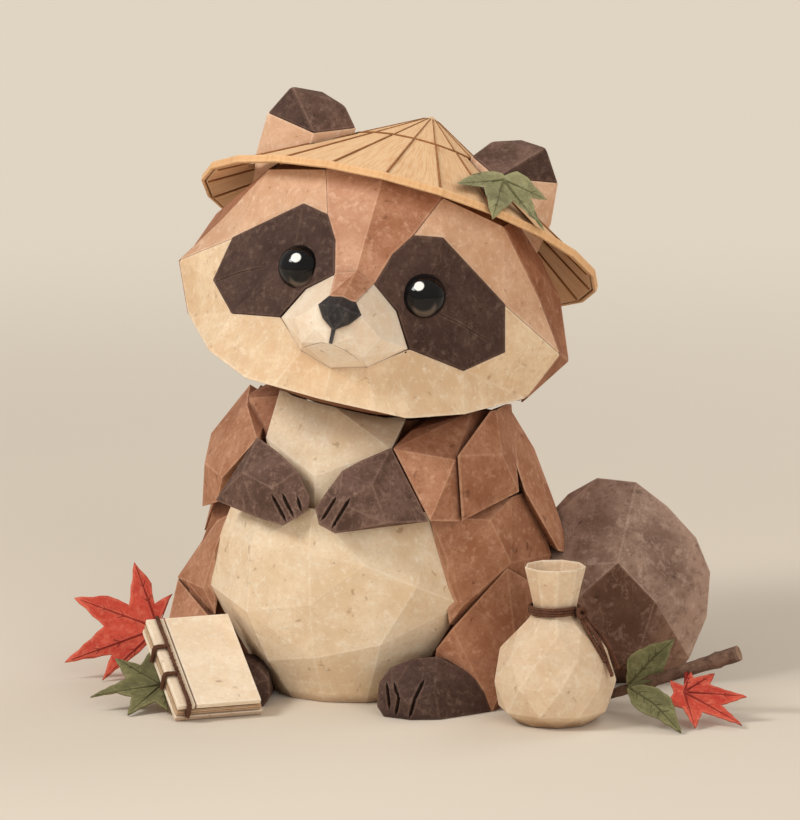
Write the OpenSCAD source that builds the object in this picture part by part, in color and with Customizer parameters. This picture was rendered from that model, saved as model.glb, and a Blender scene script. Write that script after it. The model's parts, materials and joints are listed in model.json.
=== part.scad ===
/* [Figure] */
// Side of the paper square whose grid of 100 steps the figure's folds are measured on
figure_sheet = 100; // [80:1:120]
// Thickness of the card that the hollow shells are folded from
card_t = 1.6; // [1.2:0.1:2.0]
// Thickness of the coloured paper that is glued over the card
paper_t = 0.9; // [0.6:0.1:1.2]
// Diameter of the eye beads
eye_d = 15; // [10:0.2:16]
// Running clearance between the neck tube and its socket, on the radius
neck_fit = 0.08; // [0.04:0.01:0.1]
// Outer radius of the neck tube
neck_r = 9; // [7:0.5:11]
/* [Hat] */
// Radius of the hat's brim
hat_r = 68.5; // [66:0.5:74]
// Height of the hat from its rim to its tip
hat_h = 42.5; // [40:0.5:48]
// Thickness of the hat's straw paper
hat_t = 1.3; // [1:0.1:1.8]
// Number of ribs round the hat
hat_ribs = 22; // [18:1:26]
/* [Book] */
// Width of the book's cover
book_w = 29; // [24:0.5:32]
// Height of the book's cover
book_h = 41; // [34:0.5:44]
// Thickness of each of the book's three boards
board_t = 1.9; // [1.4:0.1:2.4]
// Diameter of the binding thread
thread_d = 1.6; // [1.2:0.1:2]
/* [Sack] */
// Largest radius of the paper sack
sack_r = 20.5; // [17:0.5:23]
// Height of the paper sack
sack_h = 52; // [46:1:58]
// Thickness of the sack's paper
sack_t = 1.4; // [1:0.1:2]
// Height of the band tied round the sack's neck
band_h = 4; // [3:0.5:6]
/* [Leaves] */
// Thickness of the leaves
leaf_t = 1.1; // [0.8:0.1:1.6]
// Length of the large red leaf from its lowest to its highest tip
red_leaf_size = 40; // [34:1:44]
// Span of the small red leaf
small_leaf_size = 26; // [22:1:30]
// Span of the green maple leaf on the ground
green_leaf_size = 27; // [22:1:30]
// Span of the green maple leaf on the hat
hat_leaf_size = 30; // [24:1:34]
// Length of the twig
twig_len = 54.6; // [46:0.2:62]
// Thickness of the twig at its thick end
twig_d = 5.4; // [4:0.2:6]
/* [Hidden] */
// Least gap between pieces that lie close but do not touch
gap = 0.35;
// How far a cut runs past the surface that it opens
overrun = 1;
// One step of the figure's fold grid
fold = figure_sheet / 100;
// Every node of the model
// Node to draw, or all of them

// A place counted in fold steps to the right, to the front and up, in the model's axes
function place(p, step = fold) = [p.x, -p.y, p.z] * step;
function places(list, step = fold) = [for (p = list) place(p, step)];
function mirror_image(list) = [for (p = list) [-p.x, p.y, p.z]];
function unit(v) = v / norm(v);
function total(list, i = 0) = i == len(list) - 1 ? list[i] : list[i] + total(list, i + 1);
// Outward direction of a face whose corners run clockwise seen from outside
function facing(p, f) = unit(cross(p[f[2]] - p[f[0]], p[f[1]] - p[f[0]]));
function has_corner(f, i) = f[0] == i || f[1] == i || f[2] == i;
// Mitred outward direction at each corner, 1 long across the faces that meet there
function corner_normals(p, faces) = [for (i = [0:len(p) - 1])
  let (near = [for (f = faces) if (has_corner(f, i)) facing(p, f)],
    way = len(near) == 0 ? [0, 0, 1] : unit(total(near)),
    spread = len(near) == 0 ? 1 : total([for (n = near) n * way]) / len(near))
  way / max(spread, 1 / 2)];
function edges(f) = [[f[0], f[1]], [f[1], f[2]], [f[2], f[0]]];
function rim_edges(faces) = let (all = [for (f = faces) each edges(f)])
  [for (e = all) if (len([for (g = all) if (g[0] == e[1] && g[1] == e[0]) g]) == 0) e];
function flipped(faces) = [for (f = faces) [f[2], f[1], f[0]]];
function shifted(faces, by) = [for (f = faces) [f[0] + by, f[1] + by, f[2] + by]];
// A folded sheet on some faces of a form, between two heights over its corners
module sheet(p, normals, faces, low, high) {
  n = len(p);
  walls = [for (e = rim_edges(faces)) each [[e[1], e[0], e[0] + n], [e[1], e[0] + n, e[1] + n]]];
  polyhedron(concat(p + normals * high, p + normals * low),
    concat(faces, shifted(flipped(faces), n), walls));
}
// A convex folded block round a list of places
module block(list, step = fold) {
  hull() polyhedron(places(list, step), [[for (i = [0:len(list) - 1]) i]]);
}
// Faces of a band of rings, each ring of the same count, from the lowest up
function band_faces(levels, count) = [for (l = [0:levels - 2]) for (k = [0:count - 1])
  let (a = l * count + k, b = l * count + (k + 1) % count, c = b + count, d = a + count,
    side = k < count / 2 ? l + k : l + count - 1 - k, lean = (k < count / 2) == (side % 2 == 0))
  each (lean ? [[a, d, c], [a, c, b]] : [[a, d, b], [d, c, b]])];
function cap_faces(levels, count) = concat(
  [for (k = [0:count - 1]) [k, (k + 1) % count, levels * count]],
  [for (k = [0:count - 1]) [(levels - 1) * count + (k + 1) % count, (levels - 1) * count + k,
    levels * count + 1]]);
// A ring from its right half, which runs from the front to the back
function ring(half) = concat(half, [for (i = [len(half) - 2:-1:1]) [-half[i].x, half[i].y, half[i].z]]);

// Torso rings as shares, in steps of the fold grid: right, front, up
torso_shares = [
  [[0, 27, 0], [14, 25, 0], [24, 18, 0], [44, 16, 0], [53, -8, 0], [42, -38, 0], [0, -46, 0]],
  [[0, 38, 14], [16, 35, 14], [31, 17, 14], [52, 16, 14], [59, -10, 14], [47, -42, 14], [0, -52, 14]],
  [[0, 43, 34], [21, 39, 34], [42, 23, 34], [56, 12, 34], [59, -14, 35], [45, -41, 35], [0, -51, 35]],
  [[0, 42, 61], [20, 37, 61], [35, 25, 61], [47, 8, 61], [50, -12, 61], [38, -35, 61], [0, -44, 61]],
  [[0, 36, 80], [17, 31, 80], [28, 21, 80], [37, 5, 80], [40, -12, 80], [30, -31, 78], [0, -38, 78]],
  [[0, 24, 94], [14, 20, 94], [23, 12, 93], [30, 0, 92], [31, -12, 89], [23, -22, 86], [0, -26, 87]],
];
torso_top_shares = [-2, -1, 95];
torso_levels = len(torso_shares);
torso_count = 2 * (len(torso_shares[0]) - 1);
torso_places = concat([for (level = torso_shares) each ring(level)], [[0, 0, 0], torso_top_shares]);
torso_faces = concat(band_faces(torso_levels, torso_count), cap_faces(torso_levels, torso_count));
torso_points = places(torso_places);
torso_normals = corner_normals(torso_points, torso_faces);
module torso_form(inset = 0) {
  polyhedron(torso_points - torso_normals * inset, torso_faces);
}
// Head: where its fold grid sits on the figure, as shares in steps, and how it is turned
head_place_shares = [5, -4, 134];
head_heading = 18;
head_nod = -10;
head_lean = 14;
head_look = -8;
// Head folds on the middle line, as shares in steps: forehead, bridge, muzzle root, lip, chin,
// neck, nape, back, crown
head_middle_shares = [[0, 38, 35], [0, 45, 2.8], [0, 45, -12], [0, 48, -28.5], [0, 47, -39.5],
  [0, 0, -42.5], [0, -44, -28], [0, -52, -5], [0, -48, 22], [0, -32, 42], [0, 8, 46]];
// Head folds on the right: patch 0 to 8, eye seat, brow, cheek, jaw, side, back and crown
head_side_shares = [[6.5, 45, 1], [9.6, 42, 12], [14.3, 40, 19.5], [23.4, 36.5, 21.3],
  [46.3, 20, 5.3], [49.8, 17, -9.8], [39.4, 27, -19.3], [21.7, 38, -16.8], [15.4, 41, -5.5],
  [22, 38.5, 1.2], [19.7, 33, 34], [40, 22, 30], [55, 3, 10], [66, 0, -6], [58.5, 0, -22.5],
  [43, 30, -33], [27, 43, -38.5], [17.3, 46, -39], [11, 46, -25.8], [67.5, -14, -7],
  [60, -13, 12], [55, -20, -24], [34, -38, -28], [55, -34, -8], [33, -48, -6], [49, -33, 18],
  [27, -46, 18], [27, -33, 37], [22, 8, 43], [41, -6, 35]];
middle_count = len(head_middle_shares);
side_count = len(head_side_shares);
head_points = places(concat(head_middle_shares, head_side_shares, mirror_image(head_side_shares)));
// Faces of each coloured panel on the right, by fold number
stripe_half = [[0, 21, 13], [0, 13, 12], [0, 12, 1], [1, 12, 11]];
brow_half = [[21, 14, 13], [21, 22, 14], [22, 15, 14], [22, 23, 15], [23, 24, 15]];
temple_half = [[22, 40, 31], [22, 31, 23], [23, 31, 30], [23, 30, 24], [24, 30, 25], [30, 32, 25]];
patch_half = [[11, 12, 20], [12, 13, 20], [13, 14, 20], [14, 15, 20], [15, 16, 20], [16, 17, 20],
  [17, 18, 20], [18, 19, 20], [19, 11, 20]];
cheek_half = [[15, 24, 16], [16, 24, 25], [16, 25, 17], [17, 25, 26], [17, 26, 18], [18, 26, 27],
  [18, 27, 28], [18, 28, 29], [29, 28, 4], [29, 4, 3]];
muzzle_root_half = [[1, 11, 2], [11, 19, 2], [19, 18, 2], [18, 29, 2], [29, 3, 2]];
crown_half = [[0, 10, 39], [0, 39, 21], [21, 39, 22], [39, 40, 22], [10, 9, 38], [10, 38, 39],
  [39, 38, 40]];
back_half = [[40, 38, 36], [40, 36, 31], [31, 36, 34], [31, 34, 30], [30, 34, 32], [9, 8, 37],
  [9, 37, 38], [38, 37, 36], [8, 7, 35], [8, 35, 37], [37, 35, 34], [37, 34, 36], [7, 6, 33],
  [7, 33, 35], [35, 33, 32], [35, 32, 34]];
under_half = [[5, 4, 28], [5, 28, 27], [5, 27, 26], [5, 26, 25], [5, 25, 32], [5, 32, 33],
  [5, 33, 6]];
function other_side(i) = i < middle_count ? i : i + side_count;
function left_half(faces) = [for (f = faces) [other_side(f[2]), other_side(f[1]), other_side(f[0])]];
function both(faces) = concat(faces, left_half(faces));
head_faces = both(concat(stripe_half, brow_half, temple_half, patch_half, cheek_half,
  muzzle_root_half, crown_half, back_half, under_half));
head_normals = corner_normals(head_points, head_faces);
module in_head_frame() {
  translate(place(head_place_shares))
    rotate([0, 0, head_heading]) rotate([head_nod, 0, 0]) rotate([0, head_lean, 0])
      rotate([0, 0, head_look]) children();
}
// The head's closed form, grown or shrunk by a thickness
module head_form(grow = 0) {
  polyhedron(head_points + head_normals * grow, head_faces);
}
module head_panel(faces, high) {
  in_head_frame() sheet(head_points, head_normals, faces, 0, high);
}
// The eye patches and the forehead stripe are of thicker paper than the others, by these shares
patch_share = 1.5;
stripe_share = 1.25;
patch_t = paper_t * patch_share;
stripe_t = paper_t * stripe_share;
// The room that the head needs over its turn to both sides, in degrees, and its neck's flange
head_turn_room = 8.3;
module head_room() {
  in_head_frame() {
    for (a = [-head_turn_room, 0, head_turn_room]) rotate([0, 0, a]) {
      head_form(gap);
      sheet(head_points, head_normals, both(cheek_half), 0, paper_t + gap);
    }
    translate([0, 0, neck_top_share * fold - 2 * gap])
      cylinder(r = collar_share * fold, h = neck_foot_share * fold, $fn = 64);
  }
}
module head_shell() {
  color([0.62, 0.42, 0.30]) in_head_frame() difference() {
    head_form();
    head_form(-card_t);
    translate([0, 0, neck_low_share * fold])
      cylinder(r = neck_r, h = neck_bore_share * fold, $fn = 64);
  }
}
// Muzzle folds on the right as shares in steps, the middle ones first
muzzle_middle_shares = [[0, 47, 3], [0, 60, -6.5], [0, 63, -17], [0, 62, -21.5], [0, 50, -29]];
muzzle_side_shares = [[6.8, 46, 1], [15.4, 42, -5.8], [21.7, 39, -16.8], [11.5, 47, -25.8],
  [10.4, 55.5, -23.2], [4.5, 60, -7], [8, 60.5, -11], [6.5, 61.5, -18], [14.5, 54, -16]];
bridge_shares = [[0, 47.5, 3.6], [6.8, 46.5, 1.6], [-6.8, 46.5, 1.6], [4.4, 61.3, -6.4],
  [-4.4, 61.3, -6.4], [0, 61.8, -5.4], [0, 46, -6]];
nose_shares = [[0, 60, -4.8], [4.5, 60.5, -6.2], [7.4, 60.5, -10], [4.6, 63, -14], [0, 64.5, -17.2],
  [0, 66.5, -8.5], [3.6, 65.6, -9.6], [2.4, 65.5, -13.4]];
nose_stem_shares = [[0.7, 63.6, -15.5], [-0.7, 63.6, -15.5], [0.5, 63.2, -21.5], [-0.5, 63.2, -21.5],
  [0.7, 58, -16], [-0.7, 58, -16], [0.5, 58, -21.5], [-0.5, 58, -21.5]];
module muzzle_form() {
  block(concat(muzzle_middle_shares, muzzle_side_shares, mirror_image(muzzle_side_shares)));
}
module muzzle() {
  color([0.95, 0.88, 0.80]) in_head_frame() difference() {
    muzzle_form();
    head_form(paper_t);
    block(bridge_shares);
  }
}
module forehead_stripe() {
  color([0.72, 0.49, 0.37]) in_head_frame() {
    sheet(head_points, head_normals, both(stripe_half), 0, stripe_t);
    difference() {
      block(bridge_shares);
      head_form(stripe_t);
    }
  }
}
module nose() {
  color([0.17, 0.16, 0.16]) in_head_frame() difference() {
    union() {
      block(concat(nose_shares, mirror_image(nose_shares)));
      block(nose_stem_shares);
    }
    muzzle_form();
    block(bridge_shares);
  }
}
// Where the eye beads sit on the head, as shares in steps
eye_left_share = [-19.6, 38.2, 1.3];
eye_right_share = [22.2, 37.6, 1.3];
module eye(share) {
  color([0.05, 0.05, 0.05]) in_head_frame() difference() {
    translate(place(share)) sphere(d = eye_d, $fn = 48);
    head_form(patch_t);
  }
}
module eye_left() { eye(eye_left_share); }
module eye_right() { eye(eye_right_share); }
module brow(faces) { color([0.84, 0.67, 0.53]) head_panel(faces, paper_t); }
module brow_left() { brow(left_half(brow_half)); }
module brow_right() { brow(brow_half); }
module temple(faces) { color([0.64, 0.42, 0.31]) head_panel(faces, paper_t); }
module temple_left() { temple(left_half(temple_half)); }
module temple_right() { temple(temple_half); }
module eye_patch(faces) { color([0.30, 0.22, 0.19]) head_panel(faces, patch_t); }
module eye_patch_left() { eye_patch(left_half(patch_half)); }
module eye_patch_right() { eye_patch(patch_half); }
module cheek_panel() {
  color([0.90, 0.80, 0.68]) in_head_frame() difference() {
    sheet(head_points, head_normals, both(cheek_half), 0, paper_t);
    muzzle_form();
  }
}
// Ear folds as shares in steps: the dark tip, and the lower part's own
ear_tip_shares = [[44.7, -4, 60.5], [51, -8, 50], [32, 4, 46.4], [25.7, -8, 58.5],
  [20.3, -8, 52], [35, -11, 61.5], [47, -21, 48], [28, -21, 50], [36, -21, 55]];
ear_base_shares = [[51, -8, 50], [32, 4, 46.4], [20.3, -8, 52], [47, -21, 48], [28, -21, 50],
  [51.8, -10, 36], [49, -6, 20], [21, 0, 26], [32, 6, 26], [41, -25, 27], [24, -22, 28],
  [42, 1, 30]];
module ear_points_of(side, list) {
  block(side > 0 ? list : mirror_image(list));
}
module ear_tip(side) {
  color([0.31, 0.22, 0.19]) in_head_frame() ear_points_of(side, ear_tip_shares);
}
module ear_base(side) {
  color([0.82, 0.66, 0.50]) in_head_frame() difference() {
    ear_points_of(side, ear_base_shares);
    ear_points_of(side, ear_tip_shares);
    head_form(paper_t);
  }
}
module ear_tip_left() { ear_tip(-1); }
module ear_tip_right() { ear_tip(1); }
module ear_base_left() { ear_base(-1); }
module ear_base_right() { ear_base(1); }
// Hat: its rim's centre on the head as shares, and how far it is tipped back
hat_place_shares = [1, -20, 21.1];
hat_tip = 12.5;
// Place of the ring crease, just inside the ears, as a share of a fold
hat_ring_share = 26.7;
hat_ring_r = hat_ring_share * fold;
hat_slope = atan(hat_h / hat_r);
hat_depth = hat_t / cos(hat_slope);
hat_sides_share = cos(180 / hat_ribs);
function hat_way(v) = [v.x, v.y * cos(hat_tip) - v.z * sin(hat_tip),
  v.y * sin(hat_tip) + v.z * cos(hat_tip)];
function hat_need(p) = let (q = hat_way(p - place(hat_place_shares)))
  q.z + gap + paper_t + hat_depth - hat_h * (1 - norm([q.x, q.y]) / (hat_r * hat_sides_share));
hat_lift = max([for (i = [0:len(head_points) - 1]) hat_need(head_points[i])]);
module in_hat_frame() {
  in_head_frame() translate(place(hat_place_shares)) rotate([-hat_tip, 0, 0])
    translate([0, 0, hat_lift]) children();
}
function hat_ring_points(r, z) = [for (i = [0:hat_ribs - 1])
  [r * sin(i * 360 / hat_ribs), -r * cos(i * 360 / hat_ribs), z]];
// Place on the hat's outer face at a share of its radius
function hat_height(r) = hat_h * (1 - r / hat_r);
module hat_solid(r, top, low) {
  n = hat_ribs;
  polyhedron(concat(hat_ring_points(r, low), [[0, 0, top], [0, 0, low]]),
    concat([for (i = [0:n - 1]) [i, n, (i + 1) % n]], [for (i = [0:n - 1]) [(i + 1) % n, n + 1, i]]));
}
// Height of the band round the rim
rim_share = 2;
rim_h = hat_t * rim_share;
// Room left round each ear in the hat, and the width and thickness of a rib of the hat
slot_gap = 1.05;
rib_w = 0.9;
rib_t = 0.5;
function spread_out(list, by) = [for (p = list) for (sx = [-by, by]) for (sy = [-by, by])
  p + [sx, sy, 0]];
// The way that an ear takes through the hat while the hat is lifted
module ear_way(side) {
  right = concat(ear_base_shares, ear_tip_shares);
  list = spread_out(side > 0 ? right : mirror_image(right), slot_gap / fold);
  in_head_frame() hull() {
    block(list);
    rotate([-hat_tip, 0, 0]) translate([0, 0, -hat_h]) rotate([hat_tip, 0, 0]) block(list);
  }
}
module ear_ways() {
  ear_way(-1);
  ear_way(1);
}
// The folded cone with its inner face, cut square to its slope at the rim
module hat_shell() {
  n = hat_ribs;
  inner = hat_ring_points(hat_r - hat_t * sin(hat_slope), -hat_t * cos(hat_slope));
  polyhedron(concat(hat_ring_points(hat_r, 0), inner, [[0, 0, hat_h], [0, 0, hat_h - hat_depth]]),
    [for (i = [0:n - 1]) let (j = (i + 1) % n)
      each [[i, 2 * n, j], [n + j, 2 * n + 1, n + i], [n + i, j, n + j], [n + i, i, j]]]);
}
module hat_cone() {
  color([0.93, 0.76, 0.55]) difference() {
    in_hat_frame() hat_shell();
    ear_ways();
  }
}
module hat_rim() {
  color([0.85, 0.64, 0.42]) in_hat_frame() translate([0, 0, -rim_h / 2]) difference() {
    linear_extrude(rim_h) polygon([for (p = hat_ring_points(hat_r + hat_t, 0)) [p.x, p.y]]);
    translate([0, 0, -overrun]) linear_extrude(rim_h + 2 * overrun)
      polygon([for (p = hat_ring_points(hat_r, 0)) [p.x, p.y]]);
  }
}
// A closed band round the hat's outer face between two radii
module hat_band(r_in, r_out, t) {
  n = hat_ribs;
  rings = [[r_in, 0], [r_out, 0], [r_out, t], [r_in, t]];
  polyhedron([for (r = rings) each hat_ring_points(r[0], hat_height(r[0]) + r[1])],
    [for (k = [0:3]) for (i = [0:n - 1]) let (a = k * n + i, b = k * n + (i + 1) % n,
      c = (k + 1) % 4 * n + (i + 1) % n, d = (k + 1) % 4 * n + i) each [[a, c, b], [a, d, c]]]);
}
module hat_ring() {
  color([0.60, 0.38, 0.20]) difference() {
    in_hat_frame() hat_band(hat_ring_r - rib_w, hat_ring_r, rib_t);
    ear_ways();
  }
}
// Share of a rib's thickness that lies below the hat's outer face
rib_sunk_share = 0.25;
// One rib along a panel's edge between two radii
module hat_rib(r_in, r_out) {
  half = rib_w / 2;
  hull() polyhedron([for (r = [r_in, r_out]) for (x = [-half, half]) for (z = [0, rib_t])
    [x, -r, hat_height(r) + z - rib_t * rib_sunk_share]], [[0, 1, 2, 3, 4, 5, 6, 7]]);
}
module hat_rib_strips() {
  color([0.62, 0.40, 0.22]) difference() {
    in_hat_frame() for (i = [0:hat_ribs - 1]) rotate([0, 0, i * 360 / hat_ribs]) {
      hat_rib(hat_ring_r + rib_w, hat_r - rib_w);
    }
    ear_ways();
    in_hat_frame() hat_solid(hat_r, hat_h, 0);
  }
}
// Folded blocks of the body as shares in steps of the fold grid: right, front, up
belly_shares = [[35, 25, 65], [-35, 25, 65], [20, 38, 67], [-20, 39, 67], [0, 46, 68],
  [-45.5, 23, 36], [45.5, 24, 34], [-38, 27, 56], [37, 28, 52], [33, 18, 14], [-33, 18, 14],
  [24, 20, 0], [-24, 20, 0], [14, 31, 0], [-12, 31, 0], [0, 34, 0], [0, 48.5, 53], [-24, 43, 31],
  [34, 38, 42], [0, 44.5, 17], [22, 40, 22], [-18, 39, 14], [-22, 43.5, 54], [18, 45.5, 50],
  [0, 48, 36], [0, 20, 4], [0, 20, 60]];
bib_shares = [[-19, 23, 103], [-21.5, 30, 88], [1.2, 28.5, 100], [-0.7, 41, 78], [24, 19, 95],
  [23.5, 33, 87], [-17, 35, 71], [18, 37, 71], [0, 43, 70], [0, 8, 102], [-17, 4, 107],
  [18, 12, 93]];
throat_shares = [[-21, 28, 89], [-20, 20, 100.5], [-32, 16, 98.5], [-36, 6, 98], [-26, 26, 86],
  [-38, 14, 84], [-26, 0, 104], [-28, 22, 78], [-20, 22, 78]];
sleeve_left_shares = [[-38, -1, 100], [-50, 5, 83.5], [-50.8, 12, 59.5], [-40, 27, 64.5],
  [-22.5, 36, 88.5], [-32, 19, 96.5], [-36, 33, 74], [-28, 0, 95], [-44, -9, 84], [-44, -4, 60],
  [-25, 20, 80], [-47, 20, 76]];
sleeve_right_shares = [[25.5, 37, 88], [39, 39.5, 65], [46.6, 30, 63.5], [52, 18, 67],
  [58, 4, 70], [50, -4, 95], [44, 10, 97], [28, 26, 92], [44.6, 29.2, 84], [22, 10, 90],
  [46, -10, 72], [34, -4, 97]];
shoulder_right_shares = [[51.5, 7, 99.5], [45.5, 30, 85.5], [59.5, 6, 70], [52.5, -8, 97],
  [48, -12, 80], [53, 21, 67.3], [47.5, 31.5, 64], [45, 6, 90], [56, 14, 84]];
paw_left_shares = [[-22, 37.5, 89.5], [-12.3, 43, 85.5], [-5, 46, 80.5], [-0.4, 47, 72],
  [-0.4, 47.5, 69], [-3.7, 51, 65.6], [-8, 51.5, 62.8], [-18.4, 49, 64.5], [-37, 37, 67],
  [-24, 47, 79], [-12, 51, 75], [-20, 30, 72], [-5, 38, 72]];
paw_right_shares = [[25, 38, 88.5], [17, 43.5, 85], [11, 47, 81.6], [6.4, 50, 74.5],
  [2.6, 50, 69], [4.5, 52, 64], [10.5, 53, 61.6], [27.4, 50, 65.4], [38.8, 40.5, 65],
  [22, 49, 78], [12, 53.5, 72], [25, 30, 72], [8, 40, 70]];
haunch_right_shares = [[35, 27, 64], [41, 27, 50], [46, 25.5, 34], [42, 27.5, 28], [59, 13, 47],
  [57, 6, 68], [66, -10, 46], [60, -8, 68], [65, -18, 42], [53, 17, 62], [50, -20, 40],
  [45, -5, 66], [56, 0, 20]];
haunch_left_shares = [[-36, 25.5, 60], [-41, 27, 48], [-46, 25, 34], [-42, 24, 25], [-62.5, 5, 33],
  [-45.5, 12, 55], [-49, -12, 58], [-58, -13, 36], [-60, -8, 24], [-50, 8, 18]];
leg_right_shares = [[57.9, 14, 45.5], [43.5, 29, 27], [38.5, 31, 20], [36, 31, 0], [58, 30, 0],
  [63, 20, 20], [67, -4, 34], [64, -16, 0], [50, 0, 8], [50, -4, 34], [62, 8, 40]];
leg_left_shares = [[-62, 6, 32.5], [-43, 26, 24], [-36, 31, 17], [-34, 31, 0], [-57, 28, 0],
  [-62, 17, 18], [-63, -12, 24], [-60, -16, 0], [-48, 0, 8], [-48, -4, 26]];
foot_right_shares = [[23.7, 47, 11], [23.2, 47.5, 3], [25.8, 48.5, 0], [27.2, 45, 16],
  [33.6, 42, 18.6], [40.7, 37, 18.8], [49.7, 31, 12.5], [56, 28, 6], [57, 31, 0], [45, 47, 0],
  [36, 50.5, 0], [35, 52, 6], [30, 51, 10], [43, 46.5, 9], [30, 24, 0], [50, 15, 0],
  [30, 24, 14], [44, 22, 14]];
foot_left_shares = [[-15.5, 45, 9], [-15, 45.5, 3], [-17, 46.5, 0], [-20, 43, 12.5],
  [-27, 40, 14.5], [-34, 36, 15], [-43, 31, 11], [-50, 28, 6], [-51, 31, 0], [-38, 45, 0],
  [-29, 48.5, 0], [-28, 49, 5], [-36, 44, 7], [-22, 20, 0], [-44, 15, 0], [-24, 22, 12]];
flap_right_shares = [[50, -12, 96], [57, -20, 80], [63, -22, 63], [71, -18, 45], [69, -9, 47.5],
  [60.5, 3, 70], [51.5, 1, 94], [42, -30, 90], [50, -38, 66], [56, -38, 46], [50, -14, 72],
  [58, -14, 52]];
flap_left_shares = [[-38, -12, 98], [-50, -14, 82], [-56, -16, 62], [-61, -18, 45], [-50, 0, 62],
  [-46, -4, 84], [-34, -28, 92], [-44, -36, 68], [-50, -38, 46], [-44, -10, 60], [-40, 0, 92]];
tail_shares = [[56, -18, 50], [66, -10, 42], [66, -30, 63], [76, -31, 69], [90, -30, 68.5],
  [100, -34, 60], [109, -38, 49], [113.5, -40, 37], [113, -38, 22], [108, -34, 8], [100, -34, 0],
  [78, -18, 0], [64, -22, 0], [62, -48, 0], [100, -52, 0], [90, -60, 24], [97, -56, 46],
  [74, -56, 48], [58, -50, 32], [54, -36, 22], [76, -7, 32], [90, -8, 45], [101, -15, 31],
  [95, -16, 12], [78, -10, 14], [82, -48, 63]];
module belly_form() { block(belly_shares); }
module belly_panel() {
  color([0.93, 0.84, 0.72]) difference() {
    belly_form();
    torso_form();
  }
}
module bib_form() { block(bib_shares); }
module chest_bib() {
  color([0.94, 0.86, 0.75]) difference() {
    bib_form();
    torso_form();
    belly_form();
    head_room();
    neck_bore(neck_r + gap);
  }
}
module throat_panel() {
  color([0.66, 0.43, 0.31]) difference() {
    block(throat_shares);
    torso_form();
    bib_form();
    belly_form();
    head_room();
  }
}
module arm_left_form() { block(sleeve_left_shares); }
module sleeve_left() {
  color([0.72, 0.49, 0.37]) difference() {
    arm_left_form();
    torso_form();
    bib_form();
    belly_form();
    block(throat_shares);
    head_room();
  }
}
module arm_right_form() {
  block(sleeve_right_shares);
  block(shoulder_right_shares);
}
module sleeve_right() {
  color([0.68, 0.45, 0.33]) difference() {
    arm_right_form();
    torso_form();
    bib_form();
    belly_form();
    head_room();
  }
}
module paw_right() {
  color([0.31, 0.22, 0.20]) difference() {
    block(paw_right_shares);
    arm_right_form();
    torso_form();
    bib_form();
    belly_form();
  }
}
module paw_left() {
  color([0.33, 0.24, 0.21]) difference() {
    block(paw_left_shares);
    block(paw_right_shares);
    arm_left_form();
    torso_form();
    bib_form();
    belly_form();
  }
}
module flap_right_form() { block(flap_right_shares); }
module back_flap_right() {
  color([0.66, 0.43, 0.31]) difference() {
    flap_right_form();
    torso_form();
    arm_right_form();
    head_room();
  }
}
module flap_left_form() { block(flap_left_shares); }
module back_flap_left() {
  color([0.70, 0.47, 0.35]) difference() {
    flap_left_form();
    torso_form();
    arm_left_form();
  }
}
module haunch_right() {
  color([0.68, 0.44, 0.33]) difference() {
    block(haunch_right_shares);
    torso_form();
    belly_form();
    arm_right_form();
    flap_right_form();
  }
}
module haunch_left() {
  color([0.70, 0.47, 0.35]) difference() {
    block(haunch_left_shares);
    torso_form();
    belly_form();
    arm_left_form();
    flap_left_form();
  }
}
module leg_right() {
  color([0.56, 0.35, 0.24]) difference() {
    block(leg_right_shares);
    torso_form();
    belly_form();
    block(haunch_right_shares);
    flap_right_form();
  }
}
module leg_left() {
  color([0.62, 0.40, 0.29]) difference() {
    block(leg_left_shares);
    torso_form();
    belly_form();
    block(haunch_left_shares);
    flap_left_form();
  }
}
module foot_right() {
  color([0.27, 0.19, 0.17]) difference() {
    block(foot_right_shares);
    torso_form();
    belly_form();
    block(leg_right_shares);
  }
}
module foot_left() {
  color([0.27, 0.19, 0.17]) difference() {
    block(foot_left_shares);
    torso_form();
    belly_form();
    block(leg_left_shares);
  }
}
module tail() {
  color([0.36, 0.26, 0.22]) difference() {
    block(tail_shares);
    torso_form();
    flap_right_form();
    block(haunch_right_shares);
    block(leg_right_shares);
  }
}
// Neck: height shares in the head's own frame, below its middle
neck_top_share = -42.5;
neck_low_share = -62;
neck_foot_share = 20;
neck_bore_share = 40;
// The collar: its radius and how far its foot lies over the tube's, in steps
collar_share = 15;
collar_foot_share = 2;
flange_share = 14;
module neck_bore(r) {
  in_head_frame() translate([0, 0, neck_low_share * fold])
    cylinder(r = r, h = neck_bore_share * fold, $fn = 64);
}
module neck_tube() {
  color([0.60, 0.40, 0.29]) in_head_frame() {
    translate([0, 0, neck_low_share * fold])
      cylinder(r = neck_r, h = (neck_top_share - neck_low_share) * fold, $fn = 64);
    translate([0, 0, neck_top_share * fold - gap])
      cylinder(r = flange_share * fold, h = gap, $fn = 64);
  }
}
module collar_form() {
  high = neck_top_share - neck_low_share - collar_foot_share;
  in_head_frame() translate([0, 0, (neck_low_share + collar_foot_share) * fold])
    cylinder(r = collar_share * fold, h = high * fold - 2 * gap, $fn = 64);
}
module neck_collar() {
  color([0.55, 0.34, 0.24]) difference() {
    collar_form();
    torso_form();
    bib_form();
    arm_left_form();
    arm_right_form();
    block(throat_shares);
    neck_bore(neck_r + neck_fit);
  }
}
// Thickness of the card that closes the body below, and a span wider than the whole figure
base_t = card_t;
wide_share = 200;
module base_card() {
  color([0.55, 0.36, 0.26]) intersection() {
    torso_form();
    linear_extrude(base_t) square(wide_share * fold, center = true);
  }
}
module body_shell() {
  color([0.70, 0.46, 0.34]) difference() {
    torso_form();
    torso_form(card_t);
    linear_extrude(2 * base_t, center = true) square(wide_share * fold, center = true);
    neck_bore(neck_r + neck_fit);
    head_room();
  }
}
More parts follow.
